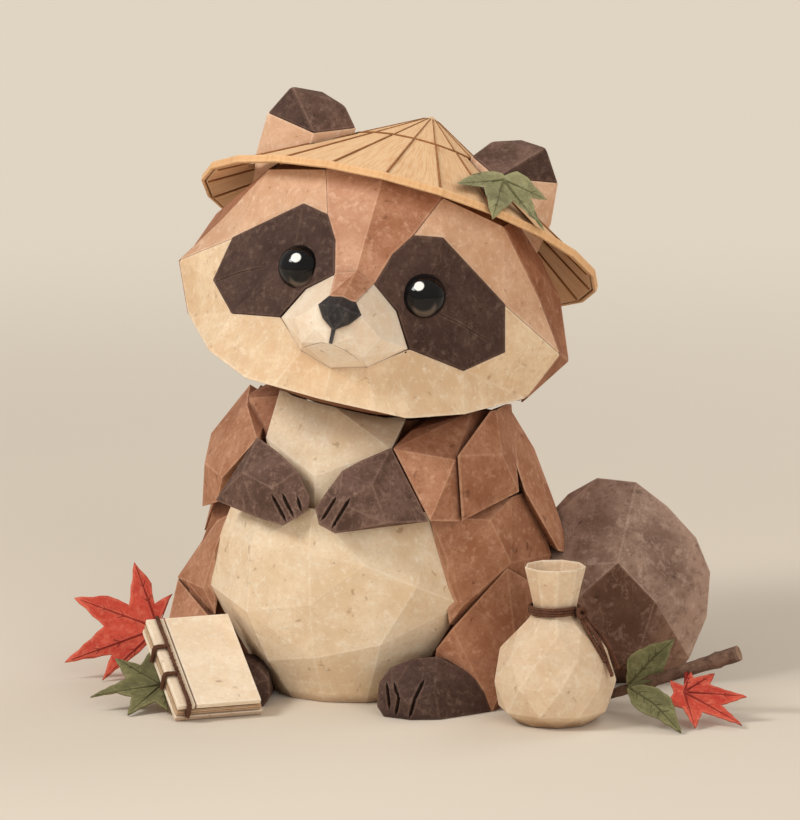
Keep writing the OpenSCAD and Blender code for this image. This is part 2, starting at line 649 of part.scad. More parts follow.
// Sack profile as shares of its radius and height, from the bottom up
sack_shares = [[0, 0], [0.62, 0], [0.88, 0.08], [1, 0.25], [0.88, 0.46], [0.52, 0.63], [0.36, 0.69],
  [0.36, 0.75], [0.5, 1]];
sack_sides = 9;
// Numbers of the profile's points below the neck, above it and at the mouth
neck_low = 6;
neck_high = 7;
mouth = 8;
// Place on the ground of the sack's left edge
sack_edge_shares = [60.5, 36, 0];
sack_place = place(sack_edge_shares) + [sack_r, 0, 0];
sack_tie_share = 0.72;
module sack_turned() {
  translate(sack_place) rotate([0, 0, 12]) children();
}
module sack_profile(wall, from, to) {
  polygon(concat([[0, sack_shares[from][1] * sack_h + wall]],
    [for (i = [max(from, 1):to])
      [sack_shares[i][0] * sack_r - wall, sack_shares[i][1] * sack_h + (i == 1 ? wall : 0)]],
    [[0, sack_shares[to][1] * sack_h]]));
}
module sack_body() {
  color([0.94, 0.86, 0.75]) sack_turned() difference() {
    rotate_extrude($fn = sack_sides) sack_profile(0, 0, len(sack_shares) - 1);
    rotate_extrude($fn = sack_sides) sack_profile(sack_t, 0, neck_low);
    translate([0, 0, sack_shares[neck_high][1] * sack_h]) rotate_extrude($fn = sack_sides)
      polygon([[0, 0], [sack_shares[neck_high][0] * sack_r - sack_t, 0],
        [sack_shares[mouth][0] * sack_r - sack_t, (1 - sack_shares[neck_high][1]) * sack_h],
        [sack_shares[mouth][0] * sack_r - sack_t, sack_h], [0, sack_h]]);
  }
}
band_r = sack_shares[neck_low][0] * sack_r;
// Where the tie is knotted, turned from the sack's front, and the fall of its ends as shares of
// the sack's radius and height: sideways, out and up
tie_heading = 75;
tie_end_shares = [[[0, 0.46, 0.71], [0.02, 0.8, 0.56], [0.07, 1.04, 0.33]],
  [[0.02, 0.47, 0.71], [0.16, 0.82, 0.56], [0.3, 1.02, 0.36]]];
// Shares of the band's height: width and thickness of an end, thickness of the band, knot
tie_w_share = 0.6;
tie_t_share = 0.25;
tie_out_share = 0.33;
knot_share = 1.2;
tie_w = band_h * tie_w_share;
tie_t = band_h * tie_t_share;
tie_out = band_h * tie_out_share;
function sack_spot(p) = [p.x * sack_r, -p.y * sack_r, p.z * sack_h];
module sack_tie() {
  color([0.36, 0.24, 0.17]) difference() {
    union() {
      sack_turned() translate([0, 0, sack_tie_share * sack_h - band_h / 2])
        rotate_extrude($fn = sack_sides) square([band_r + tie_out, band_h]);
      translate(sack_place) rotate([0, 0, tie_heading]) {
        translate([0, -band_r - tie_out, sack_tie_share * sack_h]) scale([1, 2 / 3, 1])
          sphere(d = band_h * knot_share, $fn = 8);
        for (list = tie_end_shares) for (i = [0:1]) hull() {
          translate(sack_spot(list[i])) cube([tie_w, tie_t, tie_t], center = true);
          translate(sack_spot(list[i + 1])) cube([tie_w, tie_t, tie_t], center = true);
        }
      }
    }
    sack_turned() rotate_extrude($fn = sack_sides) sack_profile(0, 0, len(sack_shares) - 1);
  }
}
// Book: its right corner's place on the ground and its turn; it slides back till it rests on the foot
book_place_shares = [-12.074, 62.073, 0];
book_heading = 38;
book_lean = 33;
function book_back(p) = let (v = place(p) - place(book_place_shares))
  (p.z * fold + gap / cos(book_lean)) / tan(book_lean)
  - (v.y * cos(book_heading) - v.x * sin(book_heading));
// How much further back it slides, in steps, to where its width meets the foot's edge
book_seat_share = 4.1;
book_slide = max([for (p = foot_left_shares) book_back(p)]) - book_seat_share * fold;
book_gap_share = 0.35;
book_gap = board_t * book_gap_share;
module in_book_frame() {
  translate(place(book_place_shares)) rotate([0, 0, book_heading])
    translate([-book_w / 2, -book_slide, 0]) rotate([book_lean, 0, 0]) children();
}
function board_level(i) = i * (board_t + book_gap);
thread_share = 0.13;
thread_x = -book_w / 2 + thread_share * book_w;
// Where the cover creases, just right of the thread, by a share of the thread's diameter
crease_share = 1.6;
crease_x = thread_x + crease_share * thread_d;
module board(level, from, to, high) {
  translate([from, 0, board_level(level)]) cube([to - from, high, board_t]);
}
module book_back_cover() {
  color([0.90, 0.76, 0.60]) in_book_frame()
    board(0, -book_w / 2, book_w / 2 + 2 * book_gap, book_h + book_gap);
}
module book_page_board() {
  color([0.93, 0.80, 0.65]) in_book_frame() board(1, -book_w / 2, book_w / 2 + book_gap, book_h);
}
module book_spine_strip() {
  color([0.95, 0.86, 0.73]) in_book_frame() board(2, -book_w / 2, crease_x - gap / 2, book_h);
}
module book_front_cover() {
  color([0.96, 0.88, 0.76]) in_book_frame() board(2, crease_x + gap / 2, book_w / 2, book_h);
}
// Heights of the thread's loops round the spine, as shares of the cover's height
loop_shares = [0.33, 0.64];
module binding_thread() {
  top = board_level(2) + board_t;
  r = thread_d / 2;
  color([0.33, 0.20, 0.14]) in_book_frame() {
    translate([thread_x, -thread_d, top + r]) rotate([-90, 0, 0])
      cylinder(r = r, h = book_h + thread_d, $fn = 16);
    translate([thread_x - r, -thread_d, board_t])
      cube([thread_d, thread_d, top + r - board_t]);
    for (share = loop_shares) translate([-book_w / 2 - thread_d, share * book_h, 0]) {
      translate([0, 0, top]) cube([thread_x + book_w / 2 + thread_d, thread_d, thread_d]);
      translate([0, 0, board_t / 2]) cube([thread_d, thread_d, top]);
    }
  }
}
// Leaves: outlines as percents of each leaf's span, seen square on, from the vein's root
picture_heading = 18;
leaf_percent = 1 / 100;
// Height of a leaning leaf's root when its lowest tip is on the ground
function root_height(outline_shares, size, lean) =
  -min([for (p = outline_shares) p.y]) * size * leaf_percent * sin(lean);
module laid(p, lean) {
  translate(p) rotate([0, 0, picture_heading]) rotate([lean, 0, 0]) children();
}
module leaf(outline_shares, size) {
  linear_extrude(leaf_t) polygon([for (p = outline_shares) p * size * leaf_percent]);
}
module ground_leaf(outline_shares, size, place_shares, lean) {
  laid(place(place_shares) + [0, 0, root_height(outline_shares, size, lean)], lean)
    leaf(outline_shares, size);
}
hat_leaf_shares = [[-48, -18], [-30, -2], [-20, 6], [-3, 10], [7, 11], [23, 11], [37, 6], [53, -3],
  [37, -11], [43, -25], [57, -48], [33, -31], [17, -24], [5, -36], [-3, -52], [-12, -30],
  [-17, -15], [-30, -19]];
// Place of the leaf on the hat, as shares of the hat's radius and height, and its tilt
hat_leaf_place_shares = [0.4745, 0.4904, 0.4048];
hat_leaf_lean = 58;
function hat_spot(p) = [p.x * hat_r, -p.y * hat_r, p.z * hat_h];
module hat_leaf() {
  color([0.45, 0.43, 0.27]) difference() {
    in_hat_frame() translate(hat_spot(hat_leaf_place_shares))
      rotate([hat_tip + hat_leaf_lean, 0, 0]) leaf(hat_leaf_shares, hat_leaf_size);
    in_hat_frame() hat_solid(hat_r, hat_h, 0);
    hat_rim();
    ear_ways();
  }
}
red_leaf_shares = [[-13, 53], [-17, 15], [-35, 23], [-64, 21], [-38, -4], [-71, -36], [-31, -29],
  [-39, -52], [-15, -33], [5, -15], [19, -6], [19, 3], [10, 3], [20, 25], [5, 16], [3, 24],
  [2, 34]];
red_leaf_place_shares = [-70.1, 13, 0];
red_leaf_lean = 62;
module large_red_leaf() {
  color([0.80, 0.31, 0.24])
    ground_leaf(red_leaf_shares, red_leaf_size, red_leaf_place_shares, red_leaf_lean);
}
green_leaf_shares = [[-80, -25], [-37, 10], [-52, 45], [-20, 33], [-9, 58], [6, 30], [16, 0],
  [12, -21], [17, -51], [0, -33], [-33, -58], [-29, -24], [-48, -18]];
green_leaf_place_shares = [-50.5, 59, 0];
green_leaf_lean = 30;
module green_leaf() {
  color([0.43, 0.42, 0.27])
    ground_leaf(green_leaf_shares, green_leaf_size, green_leaf_place_shares, green_leaf_lean);
}
small_leaf_shares = [[77, -8], [44, -20], [69, -56], [20, -32], [10, -62], [-4, -27], [-23, -17],
  [-15, 0], [-19, 21], [-2, 11], [8, 35], [11, 24], [38, 32], [31, 14]];
small_leaf_place_shares = [122.5, 24, 0];
small_leaf_lean = 35;
// Where along the twig, as shares of its length, the stems of its leaves meet it
small_stem_share = 0.66;
lower_stem_share = 0.43;
module small_red_leaf() {
  root = place(small_leaf_place_shares)
    + [0, 0, root_height(small_leaf_shares, small_leaf_size, small_leaf_lean)];
  color([0.80, 0.31, 0.24]) difference() {
    union() {
      ground_leaf(small_leaf_shares, small_leaf_size, small_leaf_place_shares, small_leaf_lean);
      stem(root, small_stem_share, small_leaf_size);
    }
    twig_form();
  }
}
// Twig: its two ends, and where its two leaves grow
twig_start_shares = [86, 13, 1.6];
twig_end_shares = [137.5, 13, 21.5];
twig_taper_share = 0.45;
twig_cut_share = 0.2;
module twig_form() {
  a = place(twig_start_shares);
  way = unit(place(twig_end_shares) - a);
  hull() {
    translate(a) sphere(d = twig_d * twig_taper_share, $fn = 8);
    translate(a + way * twig_len) rotate([0, 90 - asin(way.z), atan2(way.y, way.x)])
      cylinder(d = twig_d, h = twig_d * twig_cut_share, $fn = 7);
  }
}
module twig() { color([0.42, 0.30, 0.24]) twig_form(); }
// A leaf's stem of a share of the leaf's span, from the vein's root to a place on the twig
stem_share = 0.07;
module stem(root, share, size) {
  way = place(twig_end_shares) - place(twig_start_shares);
  d = size * stem_share;
  hull() {
    translate(root) sphere(d = d, $fn = 8);
    translate(place(twig_start_shares) + way * share) sphere(d = d, $fn = 8);
  }
}
twig_leaf_upper_shares = [[0, 8], [2, 40], [16, 52], [36, 60], [62, 66], [52, 36], [44, 16], [28, 8],
  [4, 0]];
twig_leaf_lower_shares = [[0, 0], [4, -22], [16, -39], [40, -53], [66, -76], [60, -39], [56, -17],
  [40, 0], [20, 8]];
twig_leaf_size = small_leaf_size;
twig_upper_place_shares = [100, 16, 7.5];
twig_lower_place_shares = [105, 33, 0];
twig_upper_lean = 60;
twig_lower_lean = 35;
module twig_leaf_upper() {
  color([0.42, 0.42, 0.27]) difference() {
    laid(place(twig_upper_place_shares), twig_upper_lean) leaf(twig_leaf_upper_shares, twig_leaf_size);
    twig_form();
  }
}
module twig_leaf_lower() {
  root = place(twig_lower_place_shares)
    + [0, 0, root_height(twig_leaf_lower_shares, twig_leaf_size, twig_lower_lean)];
  color([0.45, 0.44, 0.29]) difference() {
    union() {
      ground_leaf(twig_leaf_lower_shares, twig_leaf_size, twig_lower_place_shares, twig_lower_lean);
      stem(root, lower_stem_share, twig_leaf_size);
    }
    twig_form();
  }
}
base_card();
body_shell();
neck_collar();
belly_panel();
chest_bib();
throat_panel();
back_flap_left();
back_flap_right();
leg_left();
leg_right();
haunch_left();
haunch_right();
foot_left();
foot_right();
sleeve_left();
sleeve_right();
paw_left();
paw_right();
tail();
head_shell();
neck_tube();
forehead_stripe();
brow_left();
brow_right();
temple_left();
temple_right();
eye_patch_left();
eye_patch_right();
eye_left();
eye_right();
cheek_panel();
muzzle();
nose();
ear_base_left();
ear_base_right();
ear_tip_left();
ear_tip_right();
hat_cone();
hat_rim();
hat_ring();
hat_rib_strips();
hat_leaf();
book_back_cover();
book_page_board();
book_spine_strip();
book_front_cover();
binding_thread();
sack_body();
sack_tie();
twig();
twig_leaf_upper();
twig_leaf_lower();
small_red_leaf();
large_red_leaf();
green_leaf();
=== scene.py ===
import bpy
import bmesh
import json
import math
import numpy
import random
from mathutils import Matrix, Vector, geometry, noise
from mathutils.bvhtree import BVHTree


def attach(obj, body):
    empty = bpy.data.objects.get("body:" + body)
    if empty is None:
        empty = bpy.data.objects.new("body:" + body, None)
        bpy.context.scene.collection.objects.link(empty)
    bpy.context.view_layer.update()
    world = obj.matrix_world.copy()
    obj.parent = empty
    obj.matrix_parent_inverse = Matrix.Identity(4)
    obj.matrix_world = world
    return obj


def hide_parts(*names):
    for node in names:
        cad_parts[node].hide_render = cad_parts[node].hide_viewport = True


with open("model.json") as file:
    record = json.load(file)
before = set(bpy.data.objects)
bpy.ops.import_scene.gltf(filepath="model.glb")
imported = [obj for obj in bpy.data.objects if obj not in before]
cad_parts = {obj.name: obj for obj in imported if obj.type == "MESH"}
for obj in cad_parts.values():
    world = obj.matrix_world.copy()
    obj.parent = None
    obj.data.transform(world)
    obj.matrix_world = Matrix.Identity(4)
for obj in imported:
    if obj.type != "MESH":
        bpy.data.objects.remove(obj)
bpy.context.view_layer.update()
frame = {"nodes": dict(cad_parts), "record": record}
NODES, SCENE = frame["nodes"], bpy.context.scene
MM = 0.001
BODY_OF = {node: body for body, nodes in frame["record"]["behaviour"]["bodies"].items() for node in nodes}

# The view that the folds are laid out in: azimuth, elevation, and its axes right, up and out
VIEW_TURN = math.radians(18)
VIEW_RISE = math.radians(10)
VIEW_RIGHT = Vector((math.cos(VIEW_TURN), math.sin(VIEW_TURN), 0))
VIEW_UP = Vector((-math.sin(VIEW_RISE) * math.sin(VIEW_TURN),
                  math.sin(VIEW_RISE) * math.cos(VIEW_TURN), math.cos(VIEW_RISE)))
VIEW_OUT = VIEW_RIGHT.cross(VIEW_UP)
# Where the front view's grid has its zero on the two axes, in millimetres
GRID_ZERO = Vector((14, 92))


def turned(degrees, axis):
    return Matrix.Rotation(math.radians(degrees), 4, axis)


def linear(r, g, b):
    """A linear colour from an 8 bit one."""
    return tuple((c / 255 / 12.92 if c / 255 <= 0.04045 else ((c / 255 + 0.055) / 1.055) ** 2.4)
                 for c in (r, g, b)) + (1.0,)


# Shader groups
class Tree:
    """Short words for building a node tree."""

    def __init__(self, tree):
        self.tree = tree

    def fill(self, node, values):
        """Gives a node's inputs their values or links."""
        for name, value in values.items():
            if isinstance(value, bpy.types.NodeSocket):
                self.tree.links.new(value, node.inputs[name])
            else:
                node.inputs[name].default_value = value
        return node

    def add(self, kind, values=None, **settings):
        node = self.tree.nodes.new(kind)
        for name, value in settings.items():
            setattr(node, name, value)
        return self.fill(node, values or {})

    def maths(self, operation, a, b=0.0):
        return self.add("ShaderNodeMath", {0: a, 1: b}, operation=operation).outputs[0]

    def times(self, a, b):
        return self.maths("MULTIPLY", a, b)

    def noise(self, vector, scale, detail=2.0, rough=0.5, distortion=0.0):
        return self.add("ShaderNodeTexNoise", {"Vector": vector, "Scale": scale, "Detail": detail,
                                               "Roughness": rough, "Distortion": distortion}).outputs[0]

    def spread(self, value, low, high, to_low=0.0, to_high=1.0):
        return self.add("ShaderNodeMapRange", {"Value": value, "From Min": low, "From Max": high,
                                               "To Min": to_low, "To Max": to_high},
                        interpolation_type="SMOOTHSTEP").outputs[0]

    def mix(self, factor, a, b):
        return self.add("ShaderNodeMix", {0: factor, 6: a, 7: b}, data_type="RGBA").outputs[2]


def new_group(name, inputs, outputs, tree="ShaderNodeTree"):
    """An empty node group with sockets listed by their kinds, its tree words and its inputs."""
    group = bpy.data.node_groups.new(name, tree)
    for way, sockets in (("INPUT", inputs), ("OUTPUT", outputs)):
        for kind, labels in sockets.items():
            for label in labels:
                group.interface.new_socket(label, in_out=way, socket_type="NodeSocket" + kind)
    t = Tree(group)
    return group, t, t.add("NodeGroupInput").outputs


def washi_group():
    """Handmade paper: clouds of dye, long curling fibres and a fine tooth."""
    group, t, i = new_group(
        "Washi fibres",
        {"Vector": ["Vector"], "Color": ["Paper", "Cloud", "Fibre", "Fleck"],
         "Float": ["Cloud Size", "Fibre Size", "Fibre Amount"]}, {"Color": ["Color"], "Float": ["Height"]})
    cloud = t.noise(i["Vector"], i["Cloud Size"], 5.0, 0.62)
    colour = t.mix(t.spread(cloud, 0.36, 0.66), i["Paper"], i["Cloud"])
    speck = t.noise(i["Vector"], t.times(i["Cloud Size"], 9.0), 3.0, 0.7)
    colour = t.mix(t.spread(speck, 0.46, 0.7, 0.0, 0.7), colour, i["Cloud"])
    pale = t.noise(i["Vector"], t.times(i["Cloud Size"], 5.5), 4.0, 0.7)
    colour = t.mix(t.spread(pale, 0.5, 0.72, 0.0, 0.55), colour, i["Fibre"])
    fleck = t.noise(i["Vector"], t.times(i["Cloud Size"], 4.0), 2.0, 0.5, 0.6)
    colour = t.mix(t.spread(fleck, 0.66, 0.76, 0.0, 0.45), colour, i["Fleck"])
    strands = []
    for size, stretch in ((1.0, (1, 1, 0.45)), (1.7, (0.5, 1, 1))):
        lay = t.add("ShaderNodeMapping", {"Vector": i["Vector"], "Scale": stretch,
                                          "Rotation": (size, 0.4, size * 2)}).outputs[0]
        line = t.noise(lay, t.times(i["Fibre Size"], size), 1.5, 0.5, 1.2)
        near = t.maths("ABSOLUTE", t.maths("SUBTRACT", line, 0.5))
        strands.append(t.spread(near, 0.0, 0.018, 1.0, 0.0))
    fibre = t.maths("MAXIMUM", *strands)
    broken = t.times(fibre, t.spread(t.noise(i["Vector"], 130.0), 0.42, 0.62))
    colour = t.mix(t.times(broken, i["Fibre Amount"]), colour, i["Fibre"])
    tooth = t.noise(i["Vector"], 2600.0, 2.0, 0.6)
    height = t.maths("ADD", t.times(broken, 0.5), t.times(tooth, 0.45))
    height = t.maths("ADD", height, t.times(speck, 0.5))
    t.add("NodeGroupOutput", {"Color": colour, "Height": height})
    return group


def folds_and_shade_group():
    """Worn ridges, lighter where the paper is rubbed, and painted shade: ambient occlusion darkens the
    colour in seams and creases where pieces meet.
    """
    group, t, i = new_group(
        "Worn folds and painted shade",
        {"Vector": ["Vector"], "Color": ["Color", "Rubbed", "Seam"],
         "Float": ["Width", "Wear", "Depth", "Shade Amount"]}, {"Color": ["Color"]})
    rounded = t.add("ShaderNodeBevel", {"Radius": i["Width"]}, samples=4).outputs[0]
    true = t.add("ShaderNodeNewGeometry").outputs["True Normal"]
    flat = t.add("ShaderNodeVectorMath", {0: rounded, 1: true}, operation="DOT_PRODUCT").outputs["Value"]
    edge = t.spread(t.maths("SUBTRACT", 1.0, flat), 0.0008, 0.012)
    edge = t.times(edge, t.spread(t.noise(i["Vector"], 300.0, 4.0, 0.65), 0.3, 0.6, 0.25, 1.0))
    # Painted shade: the colour darkens where ambient occlusion finds seams, creases and gaps between pieces
    painted_shade = t.add("ShaderNodeAmbientOcclusion", {"Distance": i["Depth"]}, samples=6).outputs["AO"]
    painted_shade = t.spread(painted_shade, 0.25, 0.95, 1.0, 0.0)
    colour = t.mix(t.times(edge, i["Wear"]), i["Color"], i["Rubbed"])
    colour = t.mix(t.times(painted_shade, i["Shade Amount"]), colour, i["Seam"])
    t.add("NodeGroupOutput", {"Color": colour})
    return group


def straw_group():
    """Straw paper: fine streaks that run from the hat's tip to its rim."""
    group, t, i = new_group(
        "Straw streaks",
        {"Vector": ["Vector"], "Color": ["Straw", "Streak", "Stain"]},
        {"Color": ["Color"], "Float": ["Height"]})
    part = t.add("ShaderNodeSeparateXYZ", {0: i["Vector"]})
    turn = t.maths("ARCTAN2", part.outputs[0], part.outputs[1])
    flat = t.add("ShaderNodeCombineXYZ", {0: part.outputs[0], 1: part.outputs[1]}).outputs[0]
    reach = t.add("ShaderNodeVectorMath", {0: flat}, operation="LENGTH").outputs["Value"]
    lay = t.add("ShaderNodeCombineXYZ", {0: t.times(turn, 60.0),
                                         1: t.times(reach, 90.0)}).outputs[0]
    streak = t.noise(lay, 1.0, 4.0, 0.6, 0.3)
    colour = t.mix(t.spread(streak, 0.42, 0.66), i["Straw"], i["Streak"])
    stain = t.noise(i["Vector"], 45.0, 5.0, 0.6)
    colour = t.mix(t.spread(stain, 0.52, 0.72, 0.0, 0.5), colour, i["Stain"])
    height = t.maths("ADD", streak, t.times(t.noise(i["Vector"], 1800.0), 0.3))
    t.add("NodeGroupOutput", {"Color": colour, "Height": height})
    return group


# How much lighter the rubbed fold edges get, how dark the painted shade in seams and creases is, and the
# bump's depth
WEAR, PAINTED_SHADE, BUMP_DEPTH = 0.5, 0.6, 0.0004
WASHI = washi_group()
FOLDS_AND_SHADE = folds_and_shade_group()
STRAW = straw_group()


def blank_material(name):
    material = bpy.data.materials.new(name)
    material.use_nodes = True
    material.node_tree.nodes.clear()
    t = Tree(material.node_tree)
    shader = t.add("ShaderNodeBsdfPrincipled")
    t.add("ShaderNodeOutputMaterial", {"Surface": shader.outputs[0]})
    return material, t, shader


def finish_surface(t, shader, sheet, place, rubbed, shade_and_fleck, rough, relief, width, depth):
    """Worn folds and painted shade in seams and creases over a sheet's colour, with the roughness and the
    relief that belong to it.
    """
    colour, height = sheet.outputs["Color"], sheet.outputs["Height"]
    worn = t.add("ShaderNodeGroup", {"Color": colour, "Vector": place, "Rubbed": linear(*rubbed),
                                     "Seam": linear(*shade_and_fleck), "Width": width, "Wear": WEAR, "Depth": depth,
                                     "Shade Amount": PAINTED_SHADE}, node_tree=FOLDS_AND_SHADE)
    bump = t.add("ShaderNodeBump", {"Height": height, "Strength": relief, "Distance": BUMP_DEPTH})
    t.fill(shader, {"Base Color": worn.outputs["Color"], "Normal": bump.outputs[0],
                    "Roughness": t.spread(height, 0.2, 0.9, rough - 0.08, rough + 0.06)})


def paper(name, base, cloud, fibre, rubbed, shade_and_fleck, rough=0.82, cloud_size=70.0, fibre_size=240.0,
          fibre_amount=0.35, relief=0.5, depth=0.004):
    """A handmade paper of one dye; its darkest colour serves both for its flecks and for the painted shade
    in its seams and creases.
    """
    material, t, shader = blank_material(name)
    place = t.add("ShaderNodeTexCoord").outputs["Object"]
    fibres = t.add("ShaderNodeGroup", {
        "Vector": place, "Paper": linear(*base), "Cloud": linear(*cloud), "Fibre": linear(*fibre),
        "Fleck": linear(*shade_and_fleck), "Cloud Size": cloud_size, "Fibre Size": fibre_size,
        "Fibre Amount": fibre_amount}, node_tree=WASHI)
    finish_surface(t, shader, fibres, place, rubbed, shade_and_fleck, rough, relief, 0.0012, depth)
    shader.inputs["Specular IOR Level"].default_value = 0.25
    return material


# Each paper: base, cloud, fibre and rubbed fold colours, then its darkest colour, used for flecks and for
# the painted shade in seams and creases
CREAM = paper("cream washi", (238, 217, 187), (226, 198, 162), (250, 238, 218), (252, 240, 222),
              (150, 108, 76), fibre_amount=0.4)
CHEEK = paper("warm cream washi", (234, 207, 172), (221, 186, 147), (247, 230, 204), (250, 234, 212),
              (140, 96, 66), fibre_amount=0.4)
MUZZLE = paper("white washi", (245, 228, 205), (236, 211, 182), (252, 240, 222), (252, 240, 224),
               (160, 120, 90))
BROWN = paper("brown washi", (184, 133, 103), (160, 106, 76), (214, 168, 138), (224, 178, 146),
              (74, 40, 26))
RUSSET = paper("russet washi", (172, 121, 92), (146, 94, 66), (202, 154, 124), (214, 166, 134),
               (66, 34, 22))
STRIPE = paper("rosy brown washi", (210, 163, 133), (190, 138, 108), (234, 196, 168), (242, 206, 178),
               (84, 46, 32))
TAN = paper("tan washi", (222, 182, 150), (206, 160, 126), (240, 210, 182), (244, 214, 186), (96, 58, 40))
DARK = paper("dark washi", (84, 62, 54), (64, 45, 38), (122, 98, 86), (128, 100, 86), (26, 17, 14),
             fibre_amount=0.45)
TAIL = paper("tail washi", (138, 104, 86), (92, 64, 50), (172, 138, 120), (178, 144, 124), (28, 18, 15),
             cloud_size=38.0, fibre_amount=0.45)
# Lit and shaded copies of the tail paper, for painted light and shade on its facets
TAIL_LIT = paper("lit tail washi", (168, 138, 121), (122, 94, 80), (200, 172, 154), (200, 170, 152),
                  (34, 22, 18), cloud_size=42.0, fibre_amount=0.5)
TAIL_SHADED = paper("shaded tail washi", (98, 66, 48), (64, 40, 28), (134, 98, 78), (144, 110, 88),
                  (22, 14, 11), cloud_size=42.0, fibre_amount=0.4)
# A paler dark paper: the paws' paper, and painted light on the ear tips' lit facets
DARK_PALE = paper("pale dark washi", (114, 87, 75), (82, 59, 49), (152, 122, 106), (158, 128, 112),
                  (28, 18, 15), fibre_amount=0.5)
CARD = paper("folding card", (150, 100, 72), (130, 84, 58), (176, 128, 98), (184, 136, 104), (50, 28, 18))
SACK = paper("sack paper", (225, 202, 172), (214, 184, 151), (237, 222, 199), (239, 225, 204),
             (140, 98, 66))
COVER = paper("book cover paper", (244, 224, 196), (234, 209, 178), (252, 240, 220), (253, 243, 228),
              (140, 98, 68))
PAGES = paper("book page paper", (226, 190, 150), (206, 165, 124), (240, 212, 178), (244, 218, 186),
              (96, 60, 38))
THREAD = paper("thread", (92, 56, 40), (68, 40, 28), (132, 90, 68), (128, 86, 64), (26, 14, 10),
               cloud_size=500.0, fibre_size=1500.0, relief=0.8, depth=0.0012)
NOSE = paper("nose paper", (52, 48, 48), (38, 35, 36), (86, 80, 78), (96, 90, 88), (12, 10, 10), rough=0.5,
             fibre_amount=0.25)
RIB = paper("hat rib paper", (158, 100, 56), (128, 78, 42), (190, 132, 84), (196, 138, 88), (60, 34, 18))
RED = paper("red leaf paper", (208, 84, 64), (184, 58, 46), (226, 128, 102), (230, 126, 100), (98, 22, 18))
GREEN = paper("green leaf paper", (118, 113, 74), (92, 90, 58), (152, 146, 104), (150, 144, 102),
              (36, 36, 22))
SAGE = paper("sage leaf paper", (150, 146, 106), (122, 118, 84), (176, 172, 132), (174, 170, 128),
             (52, 52, 34))
SAGE_VEIN = paper("sage leaf vein", (112, 110, 72), (92, 90, 58), (134, 131, 92), (136, 133, 94),
                  (42, 42, 26))
RED_VEIN = paper("red leaf vein", (150, 40, 34), (126, 30, 28), (176, 66, 54), (176, 66, 54), (70, 14, 12))
GREEN_VEIN = paper("green leaf vein", (84, 80, 50), (68, 66, 40), (110, 106, 70), (112, 108, 72),
                   (30, 30, 18))
BARK = paper("bark", (108, 80, 66), (76, 54, 44), (146, 116, 98), (150, 120, 100), (26, 17, 14),
             cloud_size=260.0, fibre_size=700.0, fibre_amount=0.6, relief=0.9)
CUT_WOOD = paper("cut wood", (150, 114, 90), (122, 88, 68), (176, 140, 114), (180, 146, 120), (60, 38, 26))


def bead_material(name, centre):
    """Polished black bead: a painted glint highlight, a painted brown reflection of the floor low in it,
    and faint cloudy depth.
    """
    material, t, shader = blank_material(name)
    place = t.add("ShaderNodeTexCoord").outputs["Object"]
    out = t.add("ShaderNodeVectorMath", {0: place, 1: centre}, operation="SUBTRACT").outputs["Vector"]
    out = t.add("ShaderNodeVectorMath", {0: out}, operation="NORMALIZE").outputs["Vector"]

    def faces(right, up):
        way = VIEW_RIGHT * right + VIEW_UP * up + VIEW_OUT * math.sqrt(max(1 - right ** 2 - up ** 2, 0))
        return t.add("ShaderNodeVectorMath", {0: out, 1: way}, operation="DOT_PRODUCT").outputs["Value"]

    cloud = t.noise(place, 160.0, 3.0)
    colour = t.mix(t.spread(cloud, 0.4, 0.7), linear(12, 12, 14), linear(24, 22, 23))
    # Painted reflection of the floor: a brown crescent low in the bead
    rim = t.times(t.spread(faces(0.05, -0.62), 0.80, 0.93),
                  t.spread(faces(0.0, -0.2), 0.78, 0.9, 1.0, 0.0))
    colour = t.mix(t.times(rim, 0.75), colour, linear(112, 98, 88))
    # Painted highlight: a white glint high on the bead
    colour = t.mix(t.spread(faces(-0.2, 0.42), 0.968, 0.982), colour, linear(246, 245, 242))
    t.fill(shader, {"Base Color": colour, "Specular IOR Level": 0.3,
                    "Roughness": t.spread(t.noise(place, 900.0, 4.0), 0.5, 0.8, 0.06, 0.16)})
    return material


# Mesh helpers

# Corners this near are one, in metres, and facets that meet at less than this angle are one
WELD, FLAT = 2e-6, math.radians(0.6)


def face_out(bm):
    bmesh.ops.recalc_face_normals(bm, faces=bm.faces)


def merged(node):
    """A bmesh copy of a CAD node with its triangles joined into its flat facets."""
    bm = bmesh.new()
    bm.from_mesh(NODES[node].data)
    bm.transform(NODES[node].matrix_world)
    bmesh.ops.remove_doubles(bm, verts=bm.verts, dist=WELD)
    bmesh.ops.dissolve_degenerate(bm, edges=bm.edges, dist=WELD)
    bmesh.ops.dissolve_limit(bm, angle_limit=FLAT, verts=bm.verts, edges=bm.edges)
    return bm


def placed(name, data):
    """A new object in the scene."""
    obj = bpy.data.objects.new(name, data)
    SCENE.collection.objects.link(obj)
    return obj


def mesh_of(bm, name):
    mesh = bpy.data.meshes.new(name)
    bm.to_mesh(mesh)
    bm.free()
    return mesh


def add_piece(name, bm, materials, node, smooth=True):
    """A finished piece that stands for a CAD node, and rides on its body."""
    mesh = mesh_of(bm, name)
    obj = placed(name, mesh)
    indices = [min(polygon.material_index, len(materials) - 1) for polygon in mesh.polygons]
    mesh.materials.clear()
    for material in materials:
        mesh.materials.append(material)
    for polygon, index in zip(mesh.polygons, indices):
        polygon.use_smooth = smooth
        polygon.material_index = index
    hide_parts(node)
    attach(obj, BODY_OF[node])
    return obj


def rounded(obj, width, angle=5.0):
    """Softens the folds of a faceted piece."""
    bevel = obj.modifiers.new("soft folds", "BEVEL")
    bevel.width = width * MM
    bevel.segments = 2
    bevel.limit_method = "ANGLE"
    bevel.angle_limit = math.radians(angle)
    bevel.harden_normals = True
    bevel.use_clamp_overlap = True


